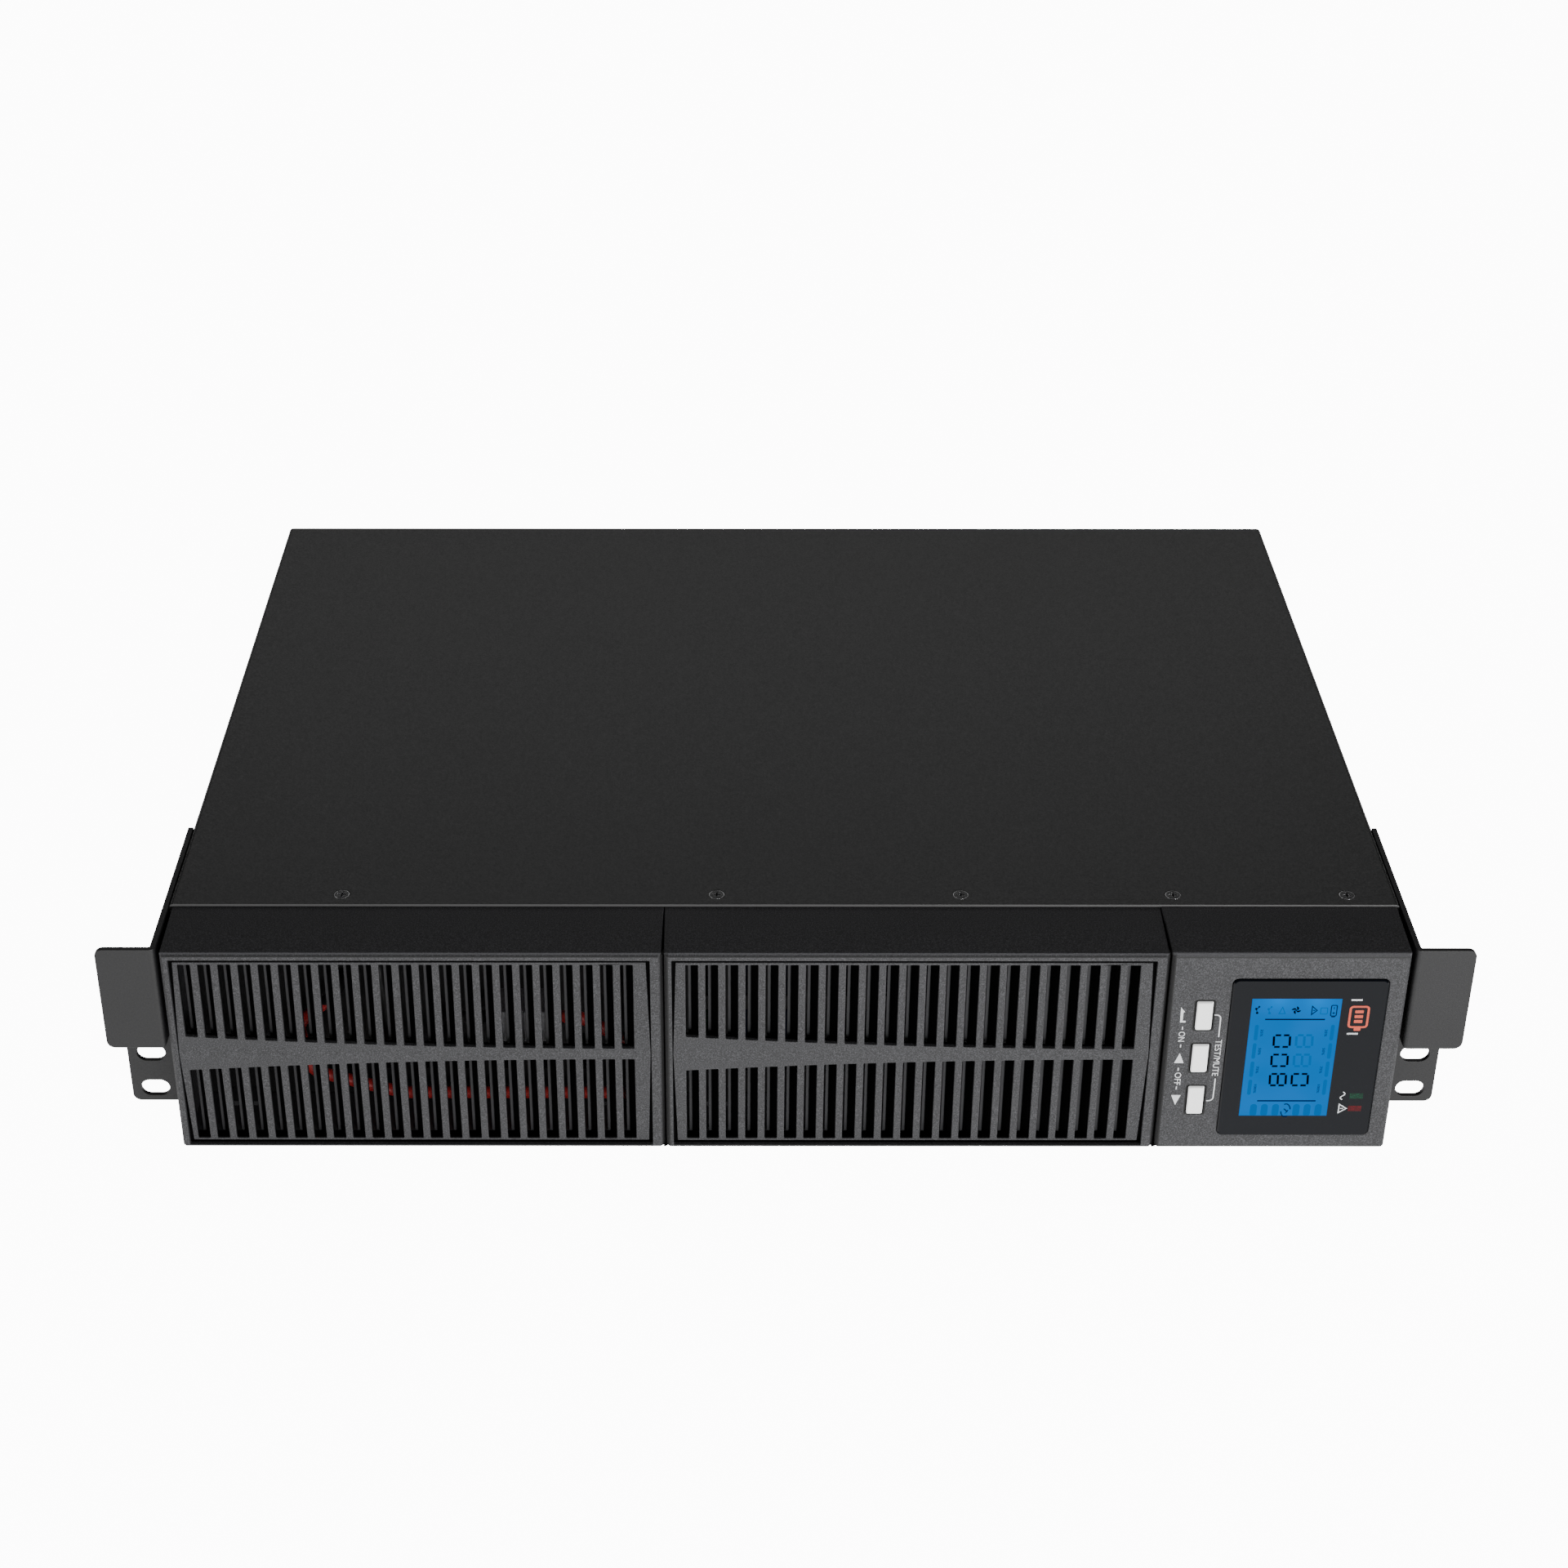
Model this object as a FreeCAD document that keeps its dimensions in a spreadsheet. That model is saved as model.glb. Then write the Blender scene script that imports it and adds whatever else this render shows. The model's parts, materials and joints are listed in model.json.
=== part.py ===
"""Rack and tower uninterruptible power supply, two rack units high, as an assembly of separate sub-parts.

Frame: +X right, -Y front, +Z up, millimetres. The origin is the centre of the footprint on the base.
Every driving dimension is a cell of the sheet Sizes, and the objects are bound to those cells by expressions.
"""

import FreeCAD, Part
import math
import os
import re
import Sketcher
from FreeCAD import Rotation, Vector

DOC = FreeCAD.newDocument("rack_ups")

SIZES = {
    # enclosure
    "chassis_width": 440,
    "chassis_height": 86,
    "body_depth": 338,  # front faces to the outer face of the rear panel
    "total_depth": 345,  # key caps to the tips of the rear screws
    "key_proud": 1,  # key caps stand out of the front faces
    "sheet": 1.2,
    "bezel_zone": 29.5,  # front faces to the front edge of the cover
    "side_gap": 0.1,  # between nested sheets
    "pan_flange": 25,
    "screw_flange": 13,
    "bend_radius": 1.8,
    "cover_screw_inset": 6.5,
    "cover_floor": 0.6,
    "small_tap": 1.5,
    "small_hole": 1.7,
    "large_tap": 1.7,
    "large_hole": 2.2,
    "vent_pitch": 13,
    "vent_width": 7,
    "cable_x": 168,
    "cable_z": 36,
    "cable_width": 20,
    # bezel modules
    "bezel_depth": 29.3,
    "bezel_spread": 0.3,  # draft of each side over the bezel's depth
    "bezel_floor": 0,
    "bezel_top": 84.6,
    "bezel_wall": 2.2,
    "bezel_face": 3.2,
    "bezel_edge": 1.1,
    "left_start": -218.4,
    "left_end": -43.4,
    "middle_start": -42.4,
    "middle_end": 133.9,
    "display_start": 134.9,
    "rib_front": 1.6,
    "rib_thick": 1.6,
    "rib_reach": 0.5,
    "display_end": 218.4,
    "display_top": 85,
    "clip_width": 12,
    "clip_thick": 1.6,
    "clip_reach": 4,
    # grille
    "left_slots": -212.7,
    "middle_slots": -35,
    "slot_pitch": 7.04,
    "slot_count": 23,
    "slot_width": 4.45,
    "slot_floor": 2.95,
    "slot_top": 79.4,
    "grille_mid": 41.6,
    "rim_left": 2.6,
    "rim_right": 4,
    "rim_floor": 0.75,
    "rim_top": 81.8,
    "groove": 1.4,
    "groove_depth": 2.6,
    "roof_drop": 1.1,  # the grille face falls back towards its top and bottom edges
    "band_start": 7.5,  # half height of the centre band at its left end
    "band_end": 2.35,
    "fin_depth": 5,
    "fin_lean": 2.6,
    "fin_thick": 1.2,
    "fin_foot": 1.1,
    # display module
    "lens_left": 157,
    "lens_right": 211.7,
    "lens_floor": 5.8,
    "lens_top": 74.3,
    "lens_thick": 2,
    "lens_sink": 1.4,
    "lens_corner": 2.2,
    "lens_gap": 0.15,
    "lcd_left": 164.2,
    "lcd_right": 196.6,
    "lcd_floor": 13.3,
    "lcd_top": 66.1,
    "lcd_border": 2.6,
    "lcd_glass": 2.8,
    "lens_bevel": 0.4,
    "key_hole_corner": 0.8,
    "key_mid": 148,
    "key_level": 40.2,
    "key_pitch": 18.6,
    "key_width": 5.7,
    "key_height": 11.6,
    "key_clear": 0.5,
    "key_lip": 0.8,
    "key_edge": 0.5,
    "key_slope": 1.1,
    "key_travel": 0.8,
    "stem_radius": 1.6,
    "switch_wide": 6,
    "switch_deep": 2.6,
    "plunger_reach": 0.9,
    "lamp_mid": 205.6,
    "lamp_width": 4.8,
    "lamp_height": 2.4,
    "green_level": 23.7,
    "red_level": 18.1,
    "board": 1.6,
    "display_board_depth": 12,
    # ears
    "ear_sheet": 2,
    "ear_span": 482.6,
    "ear_end": 82.5,
    "handle_depth": 1.5,
    "handle_floor": 43,
    "ear_top": 85.4,
    "flange_depth": 26.5,
    "flange_floor": 0.5,
    "flange_top": 40,
    "ear_corner": 3,
    "ear_bend": 1.9,
    "rack_slot_x": 232.6,
    "rack_slot_z": 6.4,
    "rack_slot_pitch": 15.875,
    "rack_slot_length": 10.5,
    "rack_slot_width": 6.8,
    # batteries and bay
    "battery_long": 151,
    "battery_high": 65,
    "battery_deep": 94,
    "battery_left": -203,
    "battery_front": -127,
    "battery_space": 106,
    "tray_level": 1.3,
    "tray_wall": 40,
    "tray_room": 2,
    "tray_lip": 8,
    "tray_slot_start": 40,
    "tray_slot_pitch": 50,
    "tray_slot": 12,
    "battery_corner": 2,
    "lid_deep": 9,
    "lid_seam": 0.6,
    "pit_half": 7,
    "pit_deep": 3,
    "terminal_inset": 14,
    "terminal_level": 50,
    "terminal_long": 6.35,
    "terminal_thick": 0.8,
    "terminal_reach": 6,
    "wall_x": -40,
    "wall_top": 82,
    "wall_back": 90,
    "wall_foot": 8,
    "lead_y": -152,
    "lead_low": 9.8,
    "lead_right": -49.4,
    "link_level": 75,
    "plug_left": -106,
    "plug_right": -82,
    "plug_level": 44,
    "plug_half": 6.5,
    "lead_radius": 2.3,
    "lead_bend": 7.5,
    "red_hole_x": -160,
    "red_hole_z": 55,
    "black_hole_x": -146,
    "black_hole_z": 68,
    "door_left": -205,
    "door_right": -56,
    "door_floor": 8,
    "door_top": 78,
    # electronics
    "board_left": -30,
    "board_right": 212,
    "board_front": -126,
    "board_back": 122,
    "board_level": 8,
    "standoff_radius": 3,
    "sink_front": -70,
    "sink_long": 150,
    "sink_tall": 56,
    "sink_spine": 5,
    "sink_wide": 32,
    "can_radius": 17,
    "can_tall": 44,
    "coil_radius": 19,
    "coil_thick": 9.5,
    # fans
    "fan_size": 60,
    "fan_depth": 25,
    "fan_flange": 4,
    "fan_bore": 28.6,
    "fan_level": 43,
    "fan_left_x": 118,
    "fan_right_x": 184,
    "fan_hub": 12.5,
    "fan_tip": 27.6,
    "fan_shaft": 1.5,
    "fan_fit": 0.05,
    "fan_screw_pitch": 50,
    "wire": 0.9,
    "arm_wide": 3,
    "arm_thick": 1.6,
    "button_reach": 12,
    "rear_hole": 1.4,
    "pin_pitch": 2.8,
}

ALIAS_WORDS = re.compile(r"[a-z][a-z_]*")


def make_sheet():
    """The driving dimensions, one row each: the name, then the value under an alias."""
    sheet = DOC.addObject("Spreadsheet::Sheet", "Sizes")
    for row, (alias, value) in enumerate(SIZES.items(), start=1):
        sheet.set(f"A{row}", alias)
        sheet.set(f"B{row}", str(value))
        sheet.setAlias(f"B{row}", alias)
    DOC.recompute()
    return sheet


SHEET = make_sheet()
NODES = {}

# Places that many sub-parts share, as expressions.
FRONT = "(key_proud - total_depth / 2)"
COVER_FRONT = f"({FRONT} + bezel_zone)"
BACK = f"({FRONT} + body_depth)"
HALF = "(chassis_width / 2)"
INNER_HALF = "(chassis_width / 2 - sheet - side_gap)"
PLATE_FRONT = f"({COVER_FRONT} + side_gap)"
PLATE_BACK = f"({COVER_FRONT} + side_gap + sheet)"
BEZEL_REAR = f"({FRONT} + bezel_depth)"
BATTERY_FRONTS = ("battery_front", "(battery_front + battery_space)")

TURN = {
    "x": Rotation(Vector(0, 1, 0), 90),
    "y": Rotation(Vector(1, 0, 0), -90),
    "z": Rotation(),
}


# ---------------------------------------------------------------- expressions and primitives


def ex(text):
    """An expression in which every known word is a cell of the sheet."""
    return ALIAS_WORDS.sub(lambda m: f"Sizes.{m.group()}" if m.group() in SIZES else m.group(), str(text))


def number(text):
    return float(SHEET.evalExpression(ex(text)))


def node(part, label):
    """Registers the finished object as a sub-part of that name."""
    part.Label = label
    NODES[label] = part
    return part


def place(part, at):
    for axis, value in zip("xyz", at):
        part.setExpression(f"Placement.Base.{axis}", ex(value))


def block(size, at, turn=None):
    part = DOC.addObject("Part::Box", "Block")
    for prop, value in zip(("Length", "Width", "Height"), size):
        part.setExpression(prop, ex(value))
    if turn:
        part.Placement.Rotation = turn
    place(part, at)
    return part


def span(low, high):
    """A block given by two opposite corners."""
    size = [f"({b}) - ({a})" for a, b in zip(low, high)]
    return block(size, low)


def rod(radius, length, at, along="z"):
    part = DOC.addObject("Part::Cylinder", "Rod")
    part.setExpression("Radius", ex(radius))
    part.setExpression("Height", ex(length))
    part.Placement.Rotation = TURN[along]
    place(part, at)
    return part


def cone(radius_start, radius_end, length, at, along="z"):
    part = DOC.addObject("Part::Cone", "Cone")
    part.setExpression("Radius1", ex(radius_start))
    part.setExpression("Radius2", ex(radius_end))
    part.setExpression("Height", ex(length))
    part.Placement.Rotation = TURN[along]
    place(part, at)
    return part


def ring(radius, section, at, along="z"):
    part = DOC.addObject("Part::Torus", "Ring")
    part.setExpression("Radius1", ex(radius))
    part.setExpression("Radius2", ex(section))
    part.Placement.Rotation = TURN[along]
    place(part, at)
    return part


def fuse(*parts):
    joined = DOC.addObject("Part::MultiFuse", "Fuse")
    joined.Shapes = list(parts)
    return joined


def cut(base, *tools):
    result = DOC.addObject("Part::Cut", "Cut")
    result.Base = base
    result.Tool = tools[0] if len(tools) == 1 else fuse(*tools)
    return result


def common(base, tool):
    result = DOC.addObject("Part::Common", "Common")
    result.Base = base
    result.Tool = tool
    return result


def group(*parts):
    """Separate solids that share one node."""
    result = DOC.addObject("Part::Compound", "Group")
    result.Links = list(parts)
    return result


# ---------------------------------------------------------------- sketches and bodies


def new_body(label):
    return node(DOC.addObject("PartDesign::Body", label), label)


def origin_plane(body, role):
    return next(f for f in body.Origin.OriginFeatures if f.Role == role)


def new_sketch(body, role, height="0"):
    """A sketch parallel to one of the body's origin planes. Facing XZ, height counts towards the front."""
    sketch = body.newObject("Sketcher::SketchObject", "Sketch")
    sketch.AttachmentSupport = [(origin_plane(body, role), "")]
    sketch.MapMode = "FlatFace"
    sketch.setExpression("AttachmentOffset.Base.z", ex(height))
    return sketch


def bind(sketch, kind, *where, value):
    index = sketch.addConstraint(Sketcher.Constraint(kind, *where, number(value)))
    sketch.setExpression(f"Constraints[{index}]", ex(value))


def pin_point(sketch, geometry, end, x, y):
    """Fixes a point of the sketch at two expressions."""
    for kind, axis, value in (("DistanceX", -2, x), ("DistanceY", -1, y)):
        if abs(number(value)) < 1e-9:
            sketch.addConstraint(Sketcher.Constraint("PointOnObject", geometry, end, axis))
        else:
            bind(sketch, kind, -1, 1, geometry, end, value=value)


def outline(sketch, corners):
    """A closed polygon, each corner bound to its two expressions."""
    first = sketch.GeometryCount
    points = [Vector(number(x), number(y), 0) for x, y in corners]
    count = len(points)
    for i in range(count):
        sketch.addGeometry(Part.LineSegment(points[i], points[(i + 1) % count]))
    for i in range(count):
        sketch.addConstraint(Sketcher.Constraint("Coincident", first + i, 2, first + (i + 1) % count, 1))
    for i, (x, y) in enumerate(corners):
        pin_point(sketch, first + i, 1, x, y)


def rectangle(sketch, left, low, right, high):
    outline(sketch, [(left, low), (right, low), (right, high), (left, high)])


def disc(sketch, x, y, radius):
    centre = Vector(number(x), number(y), 0)
    index = sketch.addGeometry(Part.Circle(centre, Vector(0, 0, 1), number(radius)))
    pin_point(sketch, index, 3, x, y)
    bind(sketch, "Radius", index, value=radius)


def level_slot(sketch, x, y, length, width):
    """A slot with round ends that lies along the sketch's first axis."""
    radius = number(width) / 2
    reach = number(length) / 2 - radius
    middle = Vector(number(x), number(y), 0)
    first = sketch.GeometryCount
    for side, turn in ((1, -90), (-1, 90)):
        circle = Part.Circle(middle + Vector(side * reach, 0, 0), Vector(0, 0, 1), radius)
        sketch.addGeometry(Part.ArcOfCircle(circle, math.radians(turn), math.radians(turn + 180)))
    for side in (1, -1):
        start = middle + Vector(side * reach, side * radius, 0)
        sketch.addGeometry(Part.LineSegment(start, middle + Vector(-side * reach, side * radius, 0)))
    for line, arc_from, arc_to in ((2, 0, 1), (3, 1, 0)):
        sketch.addConstraint(Sketcher.Constraint("Tangent", first + arc_from, 2, first + line, 1))
        sketch.addConstraint(Sketcher.Constraint("Tangent", first + line, 2, first + arc_to, 1))
    bind(sketch, "Radius", first, value=f"({width}) / 2")
    offset = f"(({length}) - ({width})) / 2"
    pin_point(sketch, first, 3, f"({x}) + {offset}", y)
    bind(sketch, "DistanceX", -1, 1, first + 1, 3, value=f"({x}) - {offset}")


def pad(body, sketch, length, draft=None):
    feature = body.newObject("PartDesign::Pad", "Pad")
    feature.Profile = sketch
    feature.setExpression("Length", ex(length))
    if draft:
        feature.setExpression("TaperAngle", ex(f"-{draft}"))
    DOC.recompute()
    return feature


def pocket(body, sketch, depth, backwards=False):
    """Removes the sketch's area to a depth. It stops if nothing was removed."""
    before = body.Shape.Volume
    feature = body.newObject("PartDesign::Pocket", "Pocket")
    feature.Profile = sketch
    feature.Reversed = backwards
    feature.setExpression("Length", ex(depth))
    DOC.recompute()
    if not body.Shape.Volume < before - 1e-3:
        raise RuntimeError(f"{body.Label}: a pocket removed nothing")
    return feature


def repeat_along_x(body, feature, pitch, count):
    pattern = body.newObject("PartDesign::LinearPattern", "Row")
    pattern.Originals = [feature]
    pattern.Direction = (next(f for f in body.Origin.OriginFeatures if f.Role == "X_Axis"), [""])
    pattern.setExpression("Occurrences", ex(count))
    pattern.setExpression("Length", ex(f"({pitch}) * (({count}) - 1)"))
    body.Tip = pattern
    DOC.recompute()
    return pattern


def mirror_sideways(body, features):
    pattern = body.newObject("PartDesign::Mirrored", "Mirror")
    pattern.Originals = features
    pattern.MirrorPlane = (origin_plane(body, "YZ_Plane"), [""])
    body.Tip = pattern
    DOC.recompute()
    return pattern


def round_edges(body, radius, test, kind="Fillet"):
    """Fillets or chamfers the edges that pass a test on their bounding box."""
    base = body.Tip
    names = [f"Edge{i}" for i, edge in enumerate(base.Shape.Edges, start=1) if test(edge.BoundBox)]
    if not names:
        raise RuntimeError(f"{body.Label}: no edge to round")
    feature = body.newObject(f"PartDesign::{kind}", kind)
    feature.Base = (base, names)
    feature.setExpression("Radius" if kind == "Fillet" else "Size", ex(radius))
    DOC.recompute()
    return feature


def near(value, expression, slack=0.01):
    return abs(value - number(expression)) < slack


# ---------------------------------------------------------------- enclosure

COVER_SCREWS = ("-158.8", "-24.2", "63.4", "139.6", "202")
SIDE_SCREWS = [(y, "12") for y in ("-30", "40", "100", "155")]
EAR_SCREWS = [(f"{FRONT} + {y}", z) for y in ("42", "70") for z in ("15", "68")]
DOOR_SCREWS = (("door_left + 3.5", "door_top - 3.5"), ("door_right - 3.5", "door_floor + 3.5"))
LEAD_HOLES = (("red_hole_x", "red_hole_z"), ("black_hole_x", "black_hole_z"))
VENT_COLUMNS = 12
DOOR_SLOTS = 9
PAN_TOP = "pan_flange"
PLATE_LOW = "(sheet + side_gap)"
PLATE_HIGH = "(chassis_height - sheet - side_gap)"


def base_pan():
    """Bottom sheet with an upturned flange along each side."""
    body = new_body("base_pan")
    profile = new_sketch(body, "XZ_Plane", f"-({BACK})")
    inner = f"({INNER_HALF} - sheet)"
    right = [(INNER_HALF, "0"), (INNER_HALF, PAN_TOP), (inner, PAN_TOP), (inner, "sheet")]
    left = [(f"-{x}", z) for x, z in reversed(right)]
    outline(profile, right + left)
    pad(body, profile, f"{BACK} - {COVER_FRONT}")
    relief = new_sketch(body, "XY_Plane", PAN_TOP)
    rectangle(relief, f"-{INNER_HALF}", f"{BACK} - sheet - side_gap", f"-{inner}", BACK)
    rectangle(relief, inner, f"{BACK} - sheet - side_gap", INNER_HALF, BACK)
    pocket(body, relief, f"{PAN_TOP} - sheet")
    holes = new_sketch(body, "YZ_Plane", INNER_HALF)
    for y, z in SIDE_SCREWS:
        disc(holes, y, z, "small_tap")
    for y, z in EAR_SCREWS:
        if number(z) < number(PAN_TOP):
            disc(holes, y, z, "large_tap")
    pocket(body, holes, f"{INNER_HALF} * 2")


def front_plate():
    """Upright plate behind the bezels, folded back along the top to take the cover screws."""
    clearance = "0.6"
    half = f"({INNER_HALF} - sheet - side_gap)"
    upright = span((f"-{half}", PLATE_FRONT, PLATE_LOW), (half, PLATE_BACK, PLATE_HIGH))
    fold_back = f"{PLATE_FRONT} + screw_flange"
    fold = span((f"-{half}", PLATE_FRONT, f"{PLATE_HIGH} - sheet"), (half, fold_back, PLATE_HIGH))
    tools = [
        rod("small_tap", "sheet + 2", (x, f"{COVER_FRONT} + cover_screw_inset", f"{PLATE_HIGH} - sheet - 1"))
        for x in COVER_SCREWS
    ]
    tools.append(plate_window("door_left + 8", "door_floor + 6", "door_right - 8", "door_top - 6"))
    tools.append(plate_window("cable_x", "cable_z", "cable_x + cable_width + 6", "cable_z + 8"))
    for column in range(VENT_COLUMNS):
        left = f"middle_start + 12 + vent_pitch * {column}"
        for floor in ("12", "46"):
            tools.append(plate_window(left, floor, f"{left} + vent_width", f"{floor} + 28"))
    for x, low in clip_spots():
        tools.append(plate_window(f"{x} - clip_width / 2 - {clearance}", f"{low} - {clearance}",
                                  f"{x} + clip_width / 2 + {clearance}", f"{low} + clip_thick + {clearance}"))
    tools += [rod("small_tap", "6", (x, f"{PLATE_FRONT} - 2", z), along="y") for x, z in DOOR_SCREWS]
    node(cut(fuse(upright, fold), *tools), "front_plate")


def plate_window(left, low, right, high):
    """A tool that cuts a rectangular window through the front plate."""
    return span((left, f"{PLATE_FRONT} - 2", low), (right, f"{PLATE_BACK} + 2", high))


def battery_door():
    """Removable plate over the battery opening, with vent slots and two lead holes."""
    back = PLATE_FRONT
    front = f"({PLATE_FRONT} - sheet)"
    sheet = span(("door_left", front, "door_floor"), ("door_right", back, "door_top"))
    tools = [rod("4", "6", (x, f"{front} - 2", z), along="y") for x, z in LEAD_HOLES]
    tools += [rod("1.6", "6", (x, f"{front} - 2", z), along="y") for x, z in DOOR_SCREWS]
    for column in range(DOOR_SLOTS):
        left = f"door_left + 14 + 14 * {column}"
        tools.append(span((left, f"{front} - 2", "14"), (f"{left} + 8", f"{back} + 2", "30")))
    node(cut(sheet, *tools), "battery_door")


def top_cover():
    """Top sheet folded down over both sides, with countersunk screw holes."""
    body = new_body("top_cover")
    profile = new_sketch(body, "XZ_Plane", f"-({BACK})")
    inner, top, low = f"({HALF} - sheet)", "chassis_height", "cover_floor"
    right = [(HALF, top), (HALF, low), (inner, low), (inner, f"{top} - sheet")]
    left = [(f"-{x}", z) for x, z in reversed(right)]
    outline(profile, right + left)
    pad(body, profile, f"{BACK} - {COVER_FRONT}")
    depth = number(f"{BACK} - {COVER_FRONT}")
    round_edges(body, "bend_radius", lambda b: b.YLength > depth - 1 and near(b.ZMin, top)
                and near(abs(b.XMin), HALF))
    screws = new_sketch(body, "XY_Plane", top)
    for x in COVER_SCREWS:
        disc(screws, x, f"{COVER_FRONT} + cover_screw_inset", "small_hole")
    countersunk(body, screws, SMALL_SCREW)
    sides = new_sketch(body, "YZ_Plane", HALF)
    for y, z in SIDE_SCREWS:
        disc(sides, y, z, "small_hole")
    mirror_sideways(body, [countersunk(body, sides, SMALL_SCREW)])
    through = new_sketch(body, "YZ_Plane", HALF)
    for y, z in EAR_SCREWS:
        disc(through, y, z, "large_hole")
    pocket(body, through, f"{HALF} * 2")


# ---------------------------------------------------------------- fasteners

# Head radius, shank radius and whole length of the two flat head screws.
SMALL_SCREW = {"head": 2.75, "shank": 1.2, "length": 6}
LARGE_SCREW = {"head": 3.6, "shank": 1.6, "length": 8}
CROSS_WIDTH = 0.55


def countersunk(body, sketch, screw):
    """Screw holes with a 90 degree countersink for a flat head."""
    DOC.recompute()
    before = body.Shape.Volume
    hole = body.newObject("PartDesign::Hole", "Hole")
    hole.Profile = sketch
    hole.DepthType = "Dimension"
    hole.Depth = 4
    hole.ThreadType = "None"
    hole.Diameter = 2 * screw["shank"] + 0.8
    hole.HoleCutType = "Countersink"
    hole.HoleCutCustomValues = True
    hole.HoleCutDiameter = 2 * screw["head"] + 0.3
    hole.HoleCutCountersinkAngle = 90
    DOC.recompute()
    if not body.Shape.Volume < before - 1e-3:
        raise RuntimeError(f"{body.Label}: a hole removed nothing")
    return hole


def along_axis(point, axis, distance):
    """The point moved along one axis, as expressions."""
    return tuple(f"({c}) + ({distance})" if a == axis else c for a, c in zip("xyz", point))


def flat_head(point, axis, inward, screw=SMALL_SCREW):
    """A countersunk screw, its head flush at the point. Inward is 1 or -1 along the axis."""
    head_depth = screw["head"] - screw["shank"]
    shank_length = screw["length"] - head_depth
    recess = 0.8
    if inward < 0:
        head = cone(screw["shank"], screw["head"], head_depth, along_axis(point, axis, -head_depth), axis)
        shank = rod(screw["shank"], shank_length, along_axis(point, axis, -screw["length"]), axis)
        mouth = along_axis(point, axis, -recess)
    else:
        head = cone(screw["head"], screw["shank"], head_depth, point, axis)
        shank = rod(screw["shank"], shank_length, along_axis(point, axis, head_depth), axis)
        mouth = point
    return cut(fuse(head, shank), cross_recess(mouth, axis, recess, screw["head"] * 1.1))


def pan_head(point, axis, outward, radius=2.8, height=1.9, length=4):
    """A raised screw that stands on a sheet at the point. Outward is 1 or -1 along the axis."""
    shank_radius = 1.2
    recess = 0.9
    if outward > 0:
        head = rod(radius, height, point, axis)
        shank = rod(shank_radius, length, along_axis(point, axis, -length), axis)
        mouth = along_axis(point, axis, height - recess)
    else:
        head = rod(radius, height, along_axis(point, axis, -height), axis)
        shank = rod(shank_radius, length, point, axis)
        mouth = along_axis(point, axis, -height)
    return cut(fuse(head, shank), cross_recess(mouth, axis, recess, radius * 1.1))


def cross_recess(point, axis, depth, reach):
    """Cross slot of a screw head, from the point along the axis."""
    arms = []
    for long_axis in [a for a in "xyz" if a != axis]:
        size = {a: CROSS_WIDTH for a in "xyz"}
        size[long_axis] = reach
        size[axis] = depth
        corner = [c if a == axis else f"({c}) - {size[a] / 2}" for a, c in zip("xyz", point)]
        arms.append(block([size[a] for a in "xyz"], corner))
    return fuse(*arms)


def sheet_screws():
    screw_y = f"{COVER_FRONT} + cover_screw_inset"
    node(group(*[flat_head((x, screw_y, "chassis_height"), "z", -1) for x in COVER_SCREWS]), "cover_screws")
    sides = []
    for y, z in SIDE_SCREWS:
        sides += [flat_head((HALF, y, z), "x", -1), flat_head((f"-{HALF}", y, z), "x", 1)]
    node(group(*sides), "side_screws")
    ears = []
    for y, z in EAR_SCREWS:
        outer = f"({HALF} + ear_sheet)"
        ears.append(flat_head((outer, y, z), "x", -1, LARGE_SCREW))
        ears.append(flat_head((f"-{outer}", y, z), "x", 1, LARGE_SCREW))
    node(group(*ears), "ear_screws")
    door_front = f"{PLATE_FRONT} - sheet"
    node(group(*[pan_head((x, door_front, z), "y", -1) for x, z in DOOR_SCREWS]), "door_screws")


# ---------------------------------------------------------------- bezels

BEZELS = {
    "left_grille": ("left_start", "left_end"),
    "middle_grille": ("middle_start", "middle_end"),
    "display_housing": ("display_start", "display_end"),
}
CLIP_INSET = "20"
INNER_FLOOR = "(bezel_floor + bezel_wall)"
INNER_TOP = "(bezel_top - bezel_wall)"


def clip_spots(only=None):
    """Middle and low edge of each snap clip: two on the bottom wall and two on the top wall of a bezel."""
    spots = []
    for label, (start, end) in BEZELS.items():
        if only in (None, label):
            for x in (f"({start} + {CLIP_INSET})", f"({end} - {CLIP_INSET})"):
                spots += [(x, INNER_FLOOR), (x, f"({INNER_TOP} - clip_thick)")]
    return spots


def bezel_blank(label, top="bezel_top"):
    """A moulded box, open at the back, with draft on its top and sides and snap clips behind."""
    start, end = BEZELS[label]
    body = new_body(label)
    rear = new_sketch(body, "XZ_Plane", f"-{BEZEL_REAR}")
    rectangle(rear, f"{start} - bezel_spread", "bezel_floor - bezel_spread",
              f"{end} + bezel_spread", f"{top} + bezel_spread")
    pad(body, rear, "bezel_depth", draft="atan(bezel_spread / bezel_depth)")
    below = new_sketch(body, "XZ_Plane", f"-{FRONT}")
    rectangle(below, f"{start} - 2", "-2", f"{end} + 2", "bezel_floor")
    pocket(body, below, "bezel_depth")
    middle = number("grille_mid")
    round_edges(body, "bezel_edge", lambda b: near(b.YMin, FRONT) and near(b.YMax, FRONT) and b.ZMax > middle,
                kind="Chamfer")
    hollow = new_sketch(body, "XZ_Plane", f"-{BEZEL_REAR}")
    rectangle(hollow, f"{start} + bezel_wall", INNER_FLOOR, f"{end} - bezel_wall", INNER_TOP)
    pocket(body, hollow, "bezel_depth - bezel_face", backwards=True)
    clips = new_sketch(body, "XZ_Plane", f"-({BEZEL_REAR} + clip_reach)")
    for x, low in clip_spots(label):
        rectangle(clips, f"{x} - clip_width / 2", f"{low} - 0.2",
                  f"{x} + clip_width / 2", f"{low} + clip_thick + 0.2")
    pad(body, clips, "clip_reach + 8")
    return body


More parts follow.
